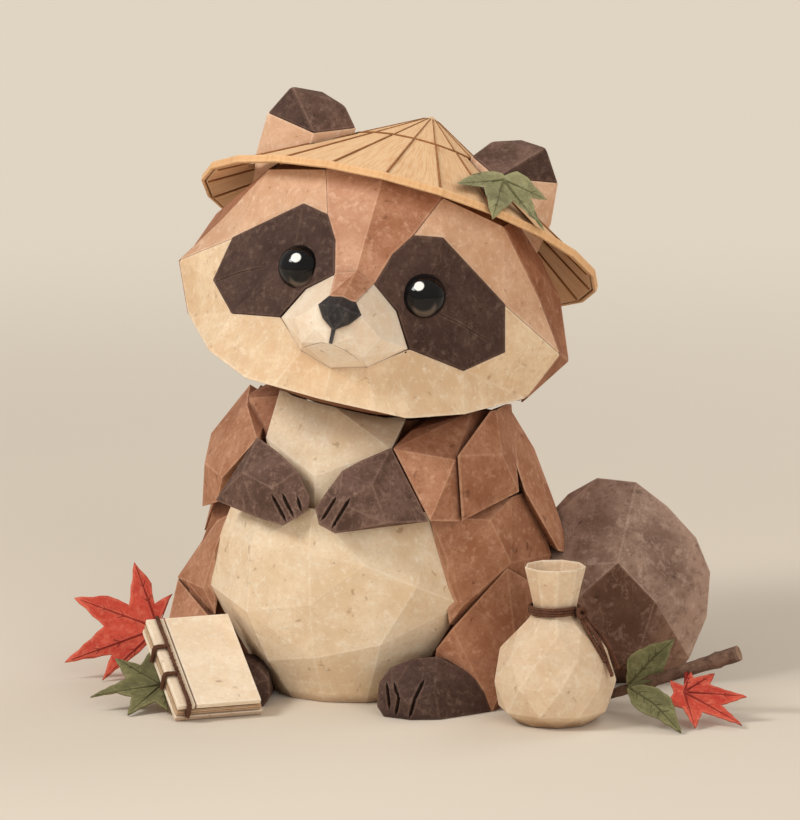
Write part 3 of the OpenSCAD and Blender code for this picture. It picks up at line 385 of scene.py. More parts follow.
def baked(obj):
    """The plain mesh of an object with its modifiers applied."""
    depsgraph = bpy.context.evaluated_depsgraph_get()
    return bpy.data.meshes.new_from_object(obj.evaluated_get(depsgraph))


def seen_at(tree, u, v):
    """Where the front view's grid point meets a piece: place and outward direction."""
    start = (VIEW_RIGHT * (u + GRID_ZERO.x) + VIEW_UP * (v + GRID_ZERO.y)) * MM + VIEW_OUT
    place, normal, _, _ = tree.ray_cast(start, -VIEW_OUT)
    if place is None:
        place, normal, _, _ = tree.find_nearest(start - VIEW_OUT * (1 - 0.05))
    return place, normal


def stepped(line, step, least=1):
    """Places along a line, about a step apart."""
    spots = []
    for a, b in zip(line, line[1:]):
        a, b = Vector(a), Vector(b)
        count = max(int((b - a).length / step), least)
        spots += [a.lerp(b, k / count) for k in range(count)]
    return spots + [Vector(line[-1])]


def smooth_path(points, steps):
    """A Catmull-Rom curve through some places."""
    pts = [points[0] * 2 - points[1], *points, points[-1] * 2 - points[-2]]
    path = []
    for k in range(1, len(pts) - 2):
        a, b, c, d = pts[k - 1:k + 3]
        for s in range(steps):
            x = s / steps
            path.append(0.5 * (2 * b + (c - a) * x + (2 * a - 5 * b + 4 * c - d) * x ** 2
                               + (3 * b - a - 3 * c + d) * x ** 3))
    return path + [pts[-2]]


def loft(bm, rings, material=0, closed=False):
    """Skins some rings of corners, and closes both ends; returns the far end."""
    sides = len(rings[0])
    faces = []
    for a, b in zip(rings, rings[1:] + (rings[:1] if closed else [])):
        faces += [bm.faces.new((a[n], a[(n + 1) % sides], b[(n + 1) % sides], b[n])) for n in range(sides)]
    if not closed:
        faces += [bm.faces.new(rings[0][::-1]), bm.faces.new(rings[-1])]
    for face in faces:
        face.material_index = material
    return faces[-1]


def add_tube(bm, path, radii, sides=8, material=0, closed=False, shape=1.0):
    """A round tube along a path, with its ends closed."""
    rings = []
    side = Vector((0, 0, 1))
    for k, place in enumerate(path):
        ahead = path[(k + 1) % len(path)] if closed or k + 1 < len(path) else path[k]
        behind = path[k - 1] if closed or k else path[0]
        way = (ahead - behind).normalized()
        side = side - way * side.dot(way)
        side = side.normalized() if side.length > 1e-6 else way.orthogonal().normalized()
        other = way.cross(side)
        r = radii[k] if isinstance(radii, list) else radii
        rings.append([bm.verts.new(place + (side * math.cos(math.tau * n / sides)
                                            + other * shape * math.sin(math.tau * n / sides)) * r)
                      for n in range(sides)])
    loft(bm, rings, material, closed)


# A twine's plies, and how far out and how thick they are, as shares of its radius
PLIES, PLY_OUT, PLY_R = 3, 0.48, 0.56


def add_twine(bm, points, radius, pitch, steps):
    """A twisted cord along a path, in millimetres."""
    path = smooth_path([Vector(p) * MM for p in points], steps)
    radius, pitch = radius * MM, pitch * MM
    run = 0.0
    side = Vector((0.3, 0.2, 1))
    spots = []
    for k, place in enumerate(path):
        way = (path[min(k + 1, len(path) - 1)] - path[max(k - 1, 0)]).normalized()
        side = (side - way * side.dot(way)).normalized()
        if k:
            run += (place - path[k - 1]).length
        spots.append((place, side.copy(), way.cross(side), math.tau * run / pitch))
    for ply in range(PLIES):
        lead = math.tau * ply / PLIES
        add_tube(bm, [p + (a * math.cos(w + lead) + b * math.sin(w + lead)) * radius * PLY_OUT
                      for p, a, b, w in spots], radius * PLY_R, 6)


# A slit's step, its wedge's height over the paper in millimetres, its flare there, its share at the ends
SLIT_STEP, SLIT_OVER, SLIT_FLARE, SLIT_END = 1.5, 1.2, 2.2, 0.35


def slit_cutter(tree, line, depth, half_width):
    """A wedge that follows a line of front view grid points over a piece."""
    bm = bmesh.new()
    spots, rings = stepped(line, SLIT_STEP), []
    for k, spot in enumerate(spots):
        place, normal = seen_at(tree, spot.x, spot.y)
        ahead = spots[min(k + 1, len(spots) - 1)] - spots[max(k - 1, 0)]
        way = (VIEW_RIGHT * ahead.x + VIEW_UP * ahead.y).normalized()
        out = (normal + VIEW_OUT).normalized()
        side = way.cross(out).normalized()
        fade = SLIT_END if k in (0, len(spots) - 1) else 1.0
        edge = side * half_width * SLIT_FLARE * fade
        rings.append([bm.verts.new(place + (out * SLIT_OVER + edge) * MM),
                      bm.verts.new(place - out * depth * fade * MM),
                      bm.verts.new(place + (out * SLIT_OVER - edge) * MM)])
    loft(bm, rings)
    face_out(bm)
    return bm


def cut_slits(bm, lines, depth, half_width):
    """Cuts wedge slits into a piece, one after the other."""
    tree = BVHTree.FromBMesh(bm)
    bmesh.ops.triangulate(bm, faces=bm.faces)
    mesh = mesh_of(bm, "uncut")
    for line in lines:
        obj = placed("uncut", mesh)
        cutter = placed("wedge", mesh_of(slit_cutter(tree, line, depth, half_width), "wedge"))
        cut = obj.modifiers.new("slit", "BOOLEAN")
        cut.operation = "DIFFERENCE"
        cut.object = cutter
        for solver in ("MANIFOLD", "EXACT", "FLOAT"):
            cut.solver = solver
            result = baked(obj)
            if len(result.polygons) > len(mesh.polygons):
                mesh = result
                break
        for thing in (obj, cutter):
            bpy.data.objects.remove(thing)
    out = bmesh.new()
    out.from_mesh(mesh)
    bmesh.ops.dissolve_limit(out, angle_limit=FLAT, verts=out.verts, edges=out.edges)
    return out


# The hat's frame and its straw
HEAD_PLACE = Vector((5, 4, 134)) * MM
HAT_TURN = turned(18, "Z") @ turned(-10, "X") @ turned(14, "Y") @ turned(-8, "Z")
HAT_TIPPED = HAT_TURN @ Matrix.Translation(Vector((1, 20, 21)) * MM) @ turned(-12.5, "X")
HAT_R, HAT_H, HAT_RIBS, HAT_RING = 68.5 * MM, 42.5 * MM, 22, 0.39


def hat_frame():
    """The hat's own frame, with its zero at the middle of the rim."""
    base = Matrix.Translation(HEAD_PLACE) @ HAT_TIPPED
    inverse = base.inverted()
    top = max((inverse @ v.co).z for v in NODES["hat_cone"].data.vertices)
    return base @ Matrix.Translation((0, 0, top - HAT_H))


HAT = hat_frame()


def straw(name, base, streak, stain, rubbed, shade_and_fleck):
    """Straw paper whose streaks run out from the hat's tip, with painted shade in its seams and creases."""
    material, t, shader = blank_material(name)
    place = t.add("ShaderNodeTexCoord").outputs["Object"]
    laid = t.add("ShaderNodeMapping", {"Vector": place, "Location": HAT.translation,
                                       "Rotation": HAT.to_euler("XYZ")}, vector_type="TEXTURE").outputs[0]
    streaks = t.add("ShaderNodeGroup", {"Vector": laid, "Straw": linear(*base), "Streak": linear(*streak),
                                        "Stain": linear(*stain)}, node_tree=STRAW)
    finish_surface(t, shader, streaks, place, rubbed, shade_and_fleck, 0.75, 0.5, 0.0010, 0.005)
    return material


STRAW_TOP = straw("straw paper", (244, 203, 156), (231, 180, 129), (216, 160, 110), (251, 226, 190),
                  (120, 70, 36))
STRAW_RIM = straw("rim straw", (231, 182, 130), (221, 169, 117), (206, 151, 102), (246, 211, 167),
                  (110, 62, 32))

# Folded paper pieces

# The paper and the width of the folds, in millimetres, of each
FOLDED = (
    (CREAM, 0.7, "belly_panel"), (CREAM, 0.6, "chest_bib"), (RUSSET, 0.5, "throat_panel"),
    (BROWN, 0.6, "sleeve_left sleeve_right"), (RUSSET, 0.5, "back_flap_left"),
    (BROWN, 0.5, "back_flap_right haunch_left haunch_right leg_left"), (RUSSET, 0.5, "leg_right"),
    (TAIL, 0.9, "tail"), (STRIPE, 0.45, "forehead_stripe"), (TAN, 0.4, "brow_left brow_right"),
    (RUSSET, 0.4, "temple_left temple_right"), (DARK, 0.45, "eye_patch_left eye_patch_right"),
    (CHEEK, 0.45, "cheek_panel"), (NOSE, 0.35, "nose"), (TAN, 0.6, "ear_base_left ear_base_right"),
    (DARK, 0.6, "ear_tip_left ear_tip_right"), (STRAW_TOP, 0.25, "hat_cone"), (STRAW_RIM, 0.4, "hat_rim"),
    (COVER, 0.35, "book_back_cover book_spine_strip book_front_cover"),
)
# Pieces whose facets take another paper by how far they face one way, as painted light and shade: facets
# facing the lit way take a paler paper, facets turned from it a darker one. The papers, that way, and the
# limits
LIT_AND_SHADED = {
    "tail": ((TAIL_LIT, TAIL, TAIL_SHADED), (0.45, -0.35, 0.82), 0.42, -0.12),
    "ear_tip_left": ((DARK_PALE, DARK, DARK), (0.9, -0.2, 0.4), 0.45, -2),
    "ear_tip_right": ((DARK_PALE, DARK, DARK), (-0.7, -0.3, 0.6), 0.45, -2),
    "forehead_stripe": ((STRIPE, STRIPE, BROWN), (-1.0, -0.3, 0.0), 0.9, 0.1),
    "sleeve_right": ((BROWN, BROWN, RUSSET), (-0.3, -1.0, 0.2), 0.9, 0.55),
    "haunch_right": ((BROWN, BROWN, RUSSET), (-0.3, -1.0, 0.2), 0.9, 0.5),
}
# How far the bib's foot is tucked in behind the belly
BIB_TUCK = 4 * MM
# Creases pressed into a face, as lines on the front view's grid
CREASES = {
    "eye_patch_left": [[(-63.5, 42), (-52, 46), (-44, 47.5)]],
    "eye_patch_right": [[(11, 33), (20, 29), (32, 22)]],
    "muzzle": [[(-31, 20.5), (-25, 22), (-21.9, 21.6)], [(-21.6, 21.6), (-17, 19.5), (-12, 16)]],
}


def fold_piece(node, material, width):
    """A folded paper piece, from the CAD's flat facets."""
    bm = merged(node)
    if node in CREASES:
        bm = cut_slits(bm, CREASES[node], 0.35, 0.25)
    if node == "chest_bib":
        foot = min(v.co.z for v in bm.verts)
        for v in bm.verts:
            if v.co.z < foot + 2 * MM:
                v.co.z -= BIB_TUCK
    papers, way, high, low = LIT_AND_SHADED.get(node, ((material,), (0, 0, 1), -2, -2))
    way = Vector(way).normalized()
    obj = add_piece(node + ".folded", bm, papers, node, smooth=False)
    # Painted light and shade: a facet facing the lit way takes the first paper, one turned from it the last
    for polygon in obj.data.polygons:
        faced = polygon.normal.dot(way)
        polygon.material_index = 0 if faced > high else 2 if faced < low else 1
    rounded(obj, width)


for material, width, nodes in FOLDED:
    for node in nodes.split():
        fold_piece(node, material, width)

for node in ("base_card", "body_shell", "neck_collar", "head_shell", "neck_tube"):
    NODES[node].data.materials.clear()
    NODES[node].data.materials.append(CARD)

# Paws, feet and muzzle

# Slits between the fingers and the toes, as lines on the front view's grid
PAW_SLITS = {
    "paw_left": [[(-41.5, -28), (-36.5, -37)], [(-38, -27.5), (-34, -35.5)],
                 [(-33, -28.5), (-31.5, -33.5)]],
    "paw_right": [[(-15.5, -29), (-21.5, -39)], [(-20, -28.5), (-25, -36.5)]],
    "foot_right": [[(-3.5, -90), (-2.5, -99)], [(-1, -90), (0.5, -95), (-0.5, -101)],
                   [(9, -89), (6, -95), (4, -102)]],
}
for node in ("paw_left", "paw_right", "foot_right", "foot_left"):
    bm = merged(node)
    if node in PAW_SLITS:
        bm = cut_slits(bm, PAW_SLITS[node], 1.8, 0.5)
    shade = DARK_PALE if "paw" in node else DARK
    rounded(add_piece(node + ".folded", bm, [shade], node, smooth=False), 0.5, angle=12)

fold_piece("muzzle", MUZZLE, 0.45)


# Eyes
EYE_R = 7.5 * MM
EYE_OUT = (HAT_TURN.to_3x3() @ Vector((0, -1, 0))).normalized()
for node in ("eye_left", "eye_right"):
    tip = max((v.co for v in NODES[node].data.vertices), key=EYE_OUT.dot)
    centre = tip - EYE_OUT * EYE_R
    bm = bmesh.new()
    bmesh.ops.create_uvsphere(bm, u_segments=48, v_segments=32, radius=EYE_R)
    bm.transform(Matrix.Translation(centre))
    add_piece(node + ".bead", bm, [bead_material(node + " bead", centre)], node)


# Hat ribs, by Geometry Nodes
def hat_height(r):
    return HAT_H * (1 - r / HAT_R)


def one_rib(r_in, r_out, lift, half, flat):
    """One raised rib that lies along the hat's fold, in the hat's frame."""
    bm = bmesh.new()
    steps = 12
    path = [Vector((0, -(r_in + (r_out - r_in) * k / steps), 0)) for k in range(steps + 1)]
    for place in path:
        place.z = hat_height(-place.y) + lift
    add_tube(bm, path, [half * (0.8 + 0.35 * k / steps) for k in range(steps + 1)], 8, shape=flat)
    return mesh_of(bm, "one rib")


def ribs_tree(name):
    """Turns copies of one rib round the hat's axis."""
    tree, t, given = new_group(
        name, {"Geometry": ["Geometry"], "Int": ["Ribs", "Seed"], "Material": ["Material"]},
        {"Geometry": ["Geometry"]}, "GeometryNodeTree")
    spots = t.add("GeometryNodePoints", {"Count": given["Ribs"]}).outputs[0]
    index = t.add("GeometryNodeInputIndex").outputs[0]
    angle = t.times(index, t.maths("DIVIDE", math.tau, given["Ribs"]))
    sway = t.add("FunctionNodeRandomValue", {2: -0.006, 3: 0.006, "ID": index, "Seed": given["Seed"]},
                 data_type="FLOAT").outputs[1]
    turn = t.add("ShaderNodeCombineXYZ", {2: t.maths("ADD", angle, sway)}).outputs[0]
    copies = t.add("GeometryNodeInstanceOnPoints", {"Points": spots, "Instance": given["Geometry"],
                                                   "Rotation": turn}).outputs[0]
    real = t.add("GeometryNodeRealizeInstances", {0: copies}).outputs[0]
    done = t.add("GeometryNodeSetMaterial", {"Geometry": real, "Material": given["Material"]}).outputs[0]
    t.add("NodeGroupOutput", {0: done})
    return tree


def ringed(mesh, tree, settings):
    """The plain mesh of a Geometry Nodes tree run over a small mesh."""
    obj = placed("source", mesh)
    modifier = obj.modifiers.new("ring", "NODES")
    modifier.node_group = tree
    for item in tree.interface.items_tree:
        if item.in_out == "INPUT" and item.name in settings:
            modifier[item.identifier] = settings[item.name]
    result = baked(obj)
    bpy.data.objects.remove(obj)
    return result


def clear_of_ears(bm):
    """Takes away the faces of a hat trim that would lie in the ears' slots."""
    cone = bmesh.new()
    cone.from_mesh(NODES["hat_cone"].data)
    bmesh.ops.remove_doubles(cone, verts=cone.verts, dist=WELD)
    tree = BVHTree.FromBMesh(cone)
    cone.free()
    gone = [f for f in bm.faces if tree.find_nearest(f.calc_center_median())[3] > TRIM_REACH]
    bmesh.ops.delete(bm, geom=gone, context="FACES")
    bmesh.ops.holes_fill(bm, edges=[e for e in bm.edges if e.is_boundary], sides=0)
    face_out(bm)


# How far a trim may be from the cone, and where the ring is
TRIM_REACH = 1.6 * MM
RING_R = HAT_R * HAT_RING
RIBS = ribs_tree("Hat ribs")


def hat_rib_piece():
    """Ribs on the outside, a finer set in the crown, and a set under the brim, in one piece."""
    whole = bmesh.new()
    # Each set's inner and outer reach, its lift over the fold, its half width and its flatness
    for seed, (r_in, r_out, lift, half, flat) in enumerate((
            (RING_R + 0.6 * MM, HAT_R - 0.6 * MM, 0.10 * MM, 0.42 * MM, 0.9),
            (3.0 * MM, RING_R - 1.0 * MM, 0.05 * MM, 0.26 * MM, 0.8),
            (HAT_R * 0.55, HAT_R - 1.2 * MM, -1.75 * MM, 0.36 * MM, 0.8))):
        whole.from_mesh(ringed(one_rib(r_in, r_out, lift, half, flat), RIBS,
                               {"Ribs": HAT_RIBS, "Seed": seed, "Material": RIB}))
    whole.transform(HAT)
    clear_of_ears(whole)
    add_piece("hat_ribs.raised", whole, [RIB], "hat_rib_strips")


def hat_ring_piece():
    """A cord-like crease ring round the crown."""
    bm = bmesh.new()
    path = []
    flat = math.cos(math.pi / HAT_RIBS)
    for k in range(HAT_RIBS * 4):
        a = math.tau * k / (HAT_RIBS * 4)
        side = abs(((k % 4) - 2) / 2)
        reach = (RING_R - 0.4 * MM) * (flat + (1 - flat) * side ** 2)
        path.append(Vector((reach * math.sin(a), -reach * math.cos(a), hat_height(RING_R) + 0.35 * MM)))
    add_tube(bm, path, 0.42 * MM, 8, closed=True)
    bm.transform(HAT)
    clear_of_ears(bm)
    add_piece("hat_ring.raised", bm, [RIB], "hat_ring")


hat_rib_piece()
hat_ring_piece()


# Leaves
def toothed(outline, tooth, seed):
    """An outline with small teeth along its longer sides."""
    rng = random.Random(seed)
    points = []
    for a, b in zip(outline, outline[1:] + outline[:1]):
        a, b = Vector(a), Vector(b)
        points.append(a)
        count = int((b - a).length / 7)
        out = Vector(((b - a).y, -(b - a).x)).normalized()
        for k in range(1, count):
            bump = tooth if k % 2 else -tooth * 0.5
            points.append(a.lerp(b, (k + rng.uniform(-0.15, 0.15)) / count) + out * bump)
    return points


def nearest_vein(p, veins):
    best = 1e9
    for line in veins:
        for a, b in zip(line, line[1:]):
            a, b = Vector(a), Vector(b)
            x = max(0.0, min(1.0, (p - a).dot(b - a) / (b - a).length_squared))
            best = min(best, (p - a.lerp(b, x)).length)
    return best


# The hat leaf's root on the grid, how far from it the leaf is held down, and how it springs up past that
LEAF_ROOT = Vector((35.5, 77.5)) + GRID_ZERO
LEAF_HELD, LEAF_SPRING, LEAF_LIFT, LEAF_REACH = -8, 0.45, 1.1 * MM, 1.6 * MM


def lay_on_hat(bm):
    """Lays a flat leaf on the brim, with the outline that the front view shows."""
    brims = [merged("hat_cone"), merged("hat_rim")]
    trees = [BVHTree.FromBMesh(brim) for brim in brims]
    right, up = VIEW_RIGHT, VIEW_UP
    held = (LEAF_ROOT.x + LEAF_HELD) * MM
    spots = [right * (v.co.x + LEAF_ROOT.x * MM) + up * (v.co.y + LEAF_ROOT.y * MM) for v in bm.verts]
    shifts = [(right * a + up * b) * LEAF_REACH for a in (-1, 0, 1) for b in (-1, 0, 1)]
    depths = []
    for spot in spots:
        hits = [tree.ray_cast(spot + shift + VIEW_OUT, -VIEW_OUT) for tree in trees for shift in shifts]
        depths.append(max(((place - spot).dot(VIEW_OUT) for place, normal, _, _ in hits
                           if place and normal.dot(VIEW_OUT) > 0.1), default=None))
    met = [(s.dot(right), s.dot(up), 1.0, d) for s, d in zip(spots, depths) if d is not None]
    slope = numpy.linalg.lstsq(numpy.array(met)[:, :3], numpy.array(met)[:, 3], rcond=None)[0]
    for v, spot, depth in zip(bm.verts, spots, depths):
        even = slope[0] * spot.dot(right) + slope[1] * spot.dot(up) + slope[2]
        even += max(spot.dot(right) - held, 0) * abs(slope[0]) * LEAF_SPRING
        rest = even if depth is None else max(depth, even)
        v.co = spot + VIEW_OUT * (rest + LEAF_LIFT + v.co.z)
    for brim in brims:
        brim.free()


def leaf_mesh(outline, size, veins, seed, tooth):
    """A leaf pressed flat and raised along its veins; outline and veins in hundredths of its size."""
    if sum(a[0] * b[1] - a[1] * b[0] for a, b in zip(outline, outline[1:] + outline[:1])) < 0:
        outline = outline[::-1]
    edge = toothed(outline, tooth, seed)
    verts = list(edge)
    low = [min(p[k] for p in edge) for k in (0, 1)]
    high = [max(p[k] for p in edge) for k in (0, 1)]
    for a in range(int((high[0] - low[0]) / LEAF_STEP)):
        for b in range(int((high[1] - low[1]) / LEAF_STEP)):
            verts.append(Vector((low[0] + (a + 0.5 * (b % 2)) * LEAF_STEP, low[1] + b * LEAF_STEP)))
    border = [(k, (k + 1) % len(edge)) for k in range(len(edge))]
    got = geometry.delaunay_2d_cdt(verts, border, [list(range(len(edge)))], 1, 1e-5)
    bm = bmesh.new()
    flat = [bm.verts.new((p.x, p.y, 0)) for p in got[0]]
    for f in got[2]:
        bm.faces.new([flat[k] for k in f])
    face_out(bm)
    if sum(f.normal.z for f in bm.faces) < 0:
        bmesh.ops.reverse_faces(bm, faces=bm.faces)
    mm = size / 100
    for v in bm.verts:
        away = nearest_vein(Vector((v.co.x, v.co.y)), veins) * mm
        wave = noise.noise(Vector((v.co.x * WAVE_SIZE, v.co.y * WAVE_SIZE, seed * 3.1))) * WAVE_HIGH
        v.co = Vector((v.co.x * mm, v.co.y * mm, VEIN_TOP - 0.03 - min(away, FALL_TO) * FALL + wave))
    made = bmesh.ops.extrude_face_region(bm, geom=list(bm.faces))
    for v in made["geom"]:
        if isinstance(v, bmesh.types.BMVert):
            v.co.z -= LEAF_THICK
    face_out(bm)
    for line in veins:
        path = stepped(line, 1.5 / mm, 2)
        total = sum((b - a).length for a, b in zip(path, path[1:])) * mm
        thick = min(0.42, 0.12 + total * 0.014)
        add_tube(bm, [Vector((p.x * mm, p.y * mm, VEIN_TOP)) for p in path],
                 [thick * (1 - 0.75 * k / (len(path) - 1)) for k in range(len(path))], 6, 1)
    bm.transform(Matrix.Scale(MM, 4))
    return bm


def leaf_piece(node, outline, size, veins, papers, seed, place=None, lean=0, tooth=0.6, stem=None):
    """A leaf in place of the CAD's plain one: laid on the hat, or leaning at a place, in millimetres."""
    bm = leaf_mesh(outline, size, veins, seed, tooth)
    if place is None:
        lay_on_hat(bm)
    else:
        if len(place) < 3:
            place = (*place, -min(p[1] for p in outline) * size / 100 * math.sin(math.radians(lean)))
        bm.transform(Matrix.Translation(Vector(place) * MM) @ Matrix.Rotation(VIEW_TURN, 4, "Z")
                     @ turned(lean, "X"))
    if stem:
        root, end = Vector(place), TWIG_FOOT + TWIG_RUN * stem
        points = (root, root.lerp(end, 0.5) + Vector((0, 0, 0.8)), end)
        add_tube(bm, smooth_path([p * MM for p in points], 6), 0.75 * MM, 8, 1)
    add_piece(node + ".pressed", bm, papers, node)


# The twig's foot and its run to the far end, in millimetres
TWIG_FOOT, TWIG_RUN = Vector((86, -13, 1.6)), Vector((51.5, 0, 19.9))
# How fine a leaf's net is, in hundredths of its size; its thickness and its veins' height, in millimetres
LEAF_STEP, LEAF_THICK, VEIN_TOP = 3.2, 0.55, 0.98
# Its slow waves, and how it falls away from its veins, up to how far
WAVE_SIZE, WAVE_HIGH, FALL, FALL_TO = 0.045, 0.25, 0.16, 3.2
HAT_LEAF = [(-52, -9), (-35, 3), (-17, 7), (-2, 5), (1, 2), (15, 7), (27, 0), (35, -10), (48, -25),
            (30, -23), (35, -37), (44, -61), (23, -38), (10, -27), (-14, -50), (-19, -28), (-22, -12),
            (-38, -11)]
RED_LEAF = [(-13, 53), (-17, 15), (-35, 23), (-64, 21), (-38, -4), (-71, -36), (-31, -29), (-39, -52),
            (-15, -33), (5, -15), (19, -6), (19, 3), (10, 3), (20, 25), (5, 16), (3, 24), (2, 34)]
GREEN_LEAF = [(-80, -25), (-37, 10), (-52, 45), (-20, 33), (-9, 58), (6, 30), (16, 0), (12, -21), (17, -51),
              (0, -33), (-33, -58), (-29, -24), (-48, -18)]
SMALL_LEAF = [(77, -8), (44, -20), (69, -56), (20, -32), (10, -62), (-4, -27), (-23, -17), (-15, 0),
              (-19, 21), (-2, 11), (8, 35), (11, 24), (38, 32), (31, 14)]
UPPER_LEAF = [(0, 8), (2, 40), (16, 52), (36, 60), (62, 66), (52, 36), (44, 16), (28, 8), (4, 0)]
LOWER_LEAF = [(0, 0), (4, -22), (16, -39), (40, -53), (66, -76), (60, -39), (56, -17), (40, 0), (20, 8)]


def rays(root, tips, side=0.0):
    """Veins from a leaf's root to its tips, with short side veins where asked."""
    lines = []
    for tip in tips:
        a, b = Vector(root), Vector(tip)
        lines.append([a, a.lerp(b, 0.93)])
        across = Vector((-(b - a).y, (b - a).x)).normalized()
        for share in (0.4, 0.62) if side else ():
            start = a.lerp(b, share)
            for way in (-1, 1):
                end = start + (b - a).normalized() * side + across * way * side * (1 - share * 0.6)
                lines.append([start, end])
    return lines


def side_veins(start, end, step, end_step=None):
    """Four side veins, each a step on from the last."""
    moves = ((start, step), (end, end_step or step))
    return [[(p[0] + move[0] * k, p[1] + move[1] * k) for p, move in moves] for k in range(4)]


leaf_piece("large_red_leaf", RED_LEAF, 40,
           rays((8, -6), [(-13, 53), (-64, 21), (-71, -36), (-39, -52)], 5) + [[(8, -6), (17, 18)]],
           [RED, RED_VEIN], 3, (-70.1, -13), 62)
leaf_piece("green_leaf", GREEN_LEAF, 27,
           rays((6, -4), [(-80, -25), (-52, 45), (-9, 58), (17, -51), (-33, -58)], 6),
           [GREEN, GREEN_VEIN], 5, (-50.5, -59), 30)
leaf_piece("small_red_leaf", SMALL_LEAF, 26,
           rays((-2, 0), [(77, -8), (69, -56), (10, -62), (38, 32), (8, 35)], 5),
           [RED, RED_VEIN], 7, (122.5, -24), 35, stem=0.66)
leaf_piece("twig_leaf_upper", UPPER_LEAF, 26,
           [[(4, 6), (30, 36), (60, 64)], *side_veins((10, 12), (12, 24), (9, 11)),
            *side_veins((12, 14), (24, 17), (9, 11))],
           [GREEN, GREEN_VEIN], 9, (100, -16, 7.5), 60, 0.8)
leaf_piece("twig_leaf_lower", LOWER_LEAF, 26,
           [[(4, -1), (34, -28), (64, -74)], *side_veins((14, -8), (26, -6), (9, -11)),
            *side_veins((12, -8), (12, -22), (9, -11), (8, -10))],
           [GREEN, GREEN_VEIN], 11, (105, -33), 35, 0.8, 0.43)
leaf_piece("hat_leaf", HAT_LEAF, 30, rays((0, -2), [(-52, -9), (48, -25), (44, -61), (-14, -50)], 5),
           [SAGE, SAGE_VEIN], 13)


# Twig
TWIG_LONG, TWIG_R, TWIG_GAIN, TWIG_KNOTS = 55.4 * MM, 1.25, 1.42, (0.22, 0.43, 0.66, 0.86)


def twig_piece():
    """A knotty twig with a pale cut end."""
    start, way = TWIG_FOOT * MM, TWIG_RUN.normalized()
    bm = bmesh.new()
    rings, count, sides = [], 44, 18
    side = way.cross(Vector((0, 1, 0))).normalized()
    other = way.cross(side)
    for k in range(count + 1):
        x = k / count
        r = (TWIG_R + TWIG_GAIN * min(x * 1.02, 1.0)) * MM
        knot = sum(0.16 * math.exp(-((x - c) / 0.02) ** 2) for c in TWIG_KNOTS)
        ring = []
        for n in range(sides):
            a = math.tau * n / sides
            spot = Vector((math.cos(a) * 1.3, math.sin(a) * 1.3, x * 9))
            rough = 1 + 0.09 * noise.noise(spot * 1.7) + 0.05 * noise.noise(spot * 5) + knot
            rough = min(rough, 1.0 + knot * 0.2) if x > 0.97 else rough
            out = side * math.cos(a) + other * math.sin(a)
            ring.append(bm.verts.new(start + way * (TWIG_LONG * x) + out * r * rough))
        rings.append(ring)
    end = loft(bm, rings)
    bmesh.ops.inset_region(bm, faces=[end], thickness=0.35 * MM, depth=-0.12 * MM)
    end.material_index = 1
    face_out(bm)
    add_piece("twig.bark", bm, [BARK, CUT_WOOD], "twig")


twig_piece()


# Book
BOARD_T, BOOK_STEP, BOOK_W, BOOK_H = 1.9, 2.565, 29.0, 41.0


def book_frame():
    """The book's own frame, read from its lowest board: right along its width, up along its height."""
    turn = turned(38, "Z") @ turned(33, "X")
    spots = [turn.inverted() @ v.co for v in NODES["book_back_cover"].data.vertices]
    low = Vector((min(s.x for s in spots), min(s.y for s in spots), min(s.z for s in spots)))
    return turn @ Matrix.Translation(low + Vector((BOOK_W / 2 * MM, 0, 0)))


BOOK = book_frame()


def pages_piece():
    """The book's inner sheets, each a little out of line with the next."""
    rng = random.Random(21)
    bm = bmesh.new()
    sheets = 7
    for k in range(sheets):
        z = BOOK_STEP + BOARD_T * k / sheets
        right = BOOK_W / 2 + BOOK_STEP - BOARD_T - rng.uniform(0, 0.5)
        top = BOOK_H - rng.uniform(0, 0.5)
        low = rng.uniform(0, 0.35)
        left = -BOOK_W / 2 + rng.uniform(0, 0.3)
        box = bmesh.ops.create_cube(bm, size=1.0)["verts"]
        for v in box:
            v.co = Vector((left + (v.co.x + 0.5) * (right - left), low + (v.co.y + 0.5) * (top - low),
                           z + (v.co.z + 0.5) * BOARD_T / sheets * 0.86))
    bm.transform(BOOK @ Matrix.Scale(MM, 4))
    add_piece("book_pages.sheets", bm, [PAGES], "book_page_board", smooth=False)


def thread_piece():
    """Twisted binding thread: a line down the cover, round the foot, and two loops on the spine."""
    bm = bmesh.new()
    x, left, top, r = -BOOK_W / 2 + 0.13 * BOOK_W, -BOOK_W / 2, 2 * BOOK_STEP + BOARD_T, 0.8
    lines = [(9, [(x, BOOK_H, top + r), (x, 30, top + r), (x, 15, top + r), (x, 2, top + r),
                  (x, -0.7, top + 0.2), (x, -0.8, top - 2.4), (x, -0.8, BOARD_T + 0.6)])]
    for y in (0.33 * BOOK_H + r, 0.64 * BOOK_H + r):
        lines.append((7, [(x + 0.4, y, top + r), (left + 0.4, y, top + r), (left - r, y, top + 0.1),
                          (left - r, y, top * 0.5), (left - r, y, 1.0)]))
    for steps, line in lines:
        add_twine(bm, line, r, 3.4, steps)
    bm.transform(BOOK)
    add_piece("binding.twine", bm, [THREAD], "binding_thread")


pages_piece()
thread_piece()


# Sack
SACK_R, SACK_H = 20.5, 52.0
SACK_PLACE = Vector((81, -36, 0))
# Rings of the sack from the ground up: radius and height as shares, and the turn in half sides
SACK_RINGS = ((0.62, 0, 0), (0.91, 0.09, 1), (1.0, 0.27, 0), (0.88, 0.46, 1), (0.58, 0.6, 0),
              (0.37, 0.69, 0), (0.36, 0.75, 0), (0.42, 0.86, 0), (0.5, 1.0, 0), (0.455, 1.0, 0),
              (0.32, 0.76, 0))
SACK_SIDES = 9


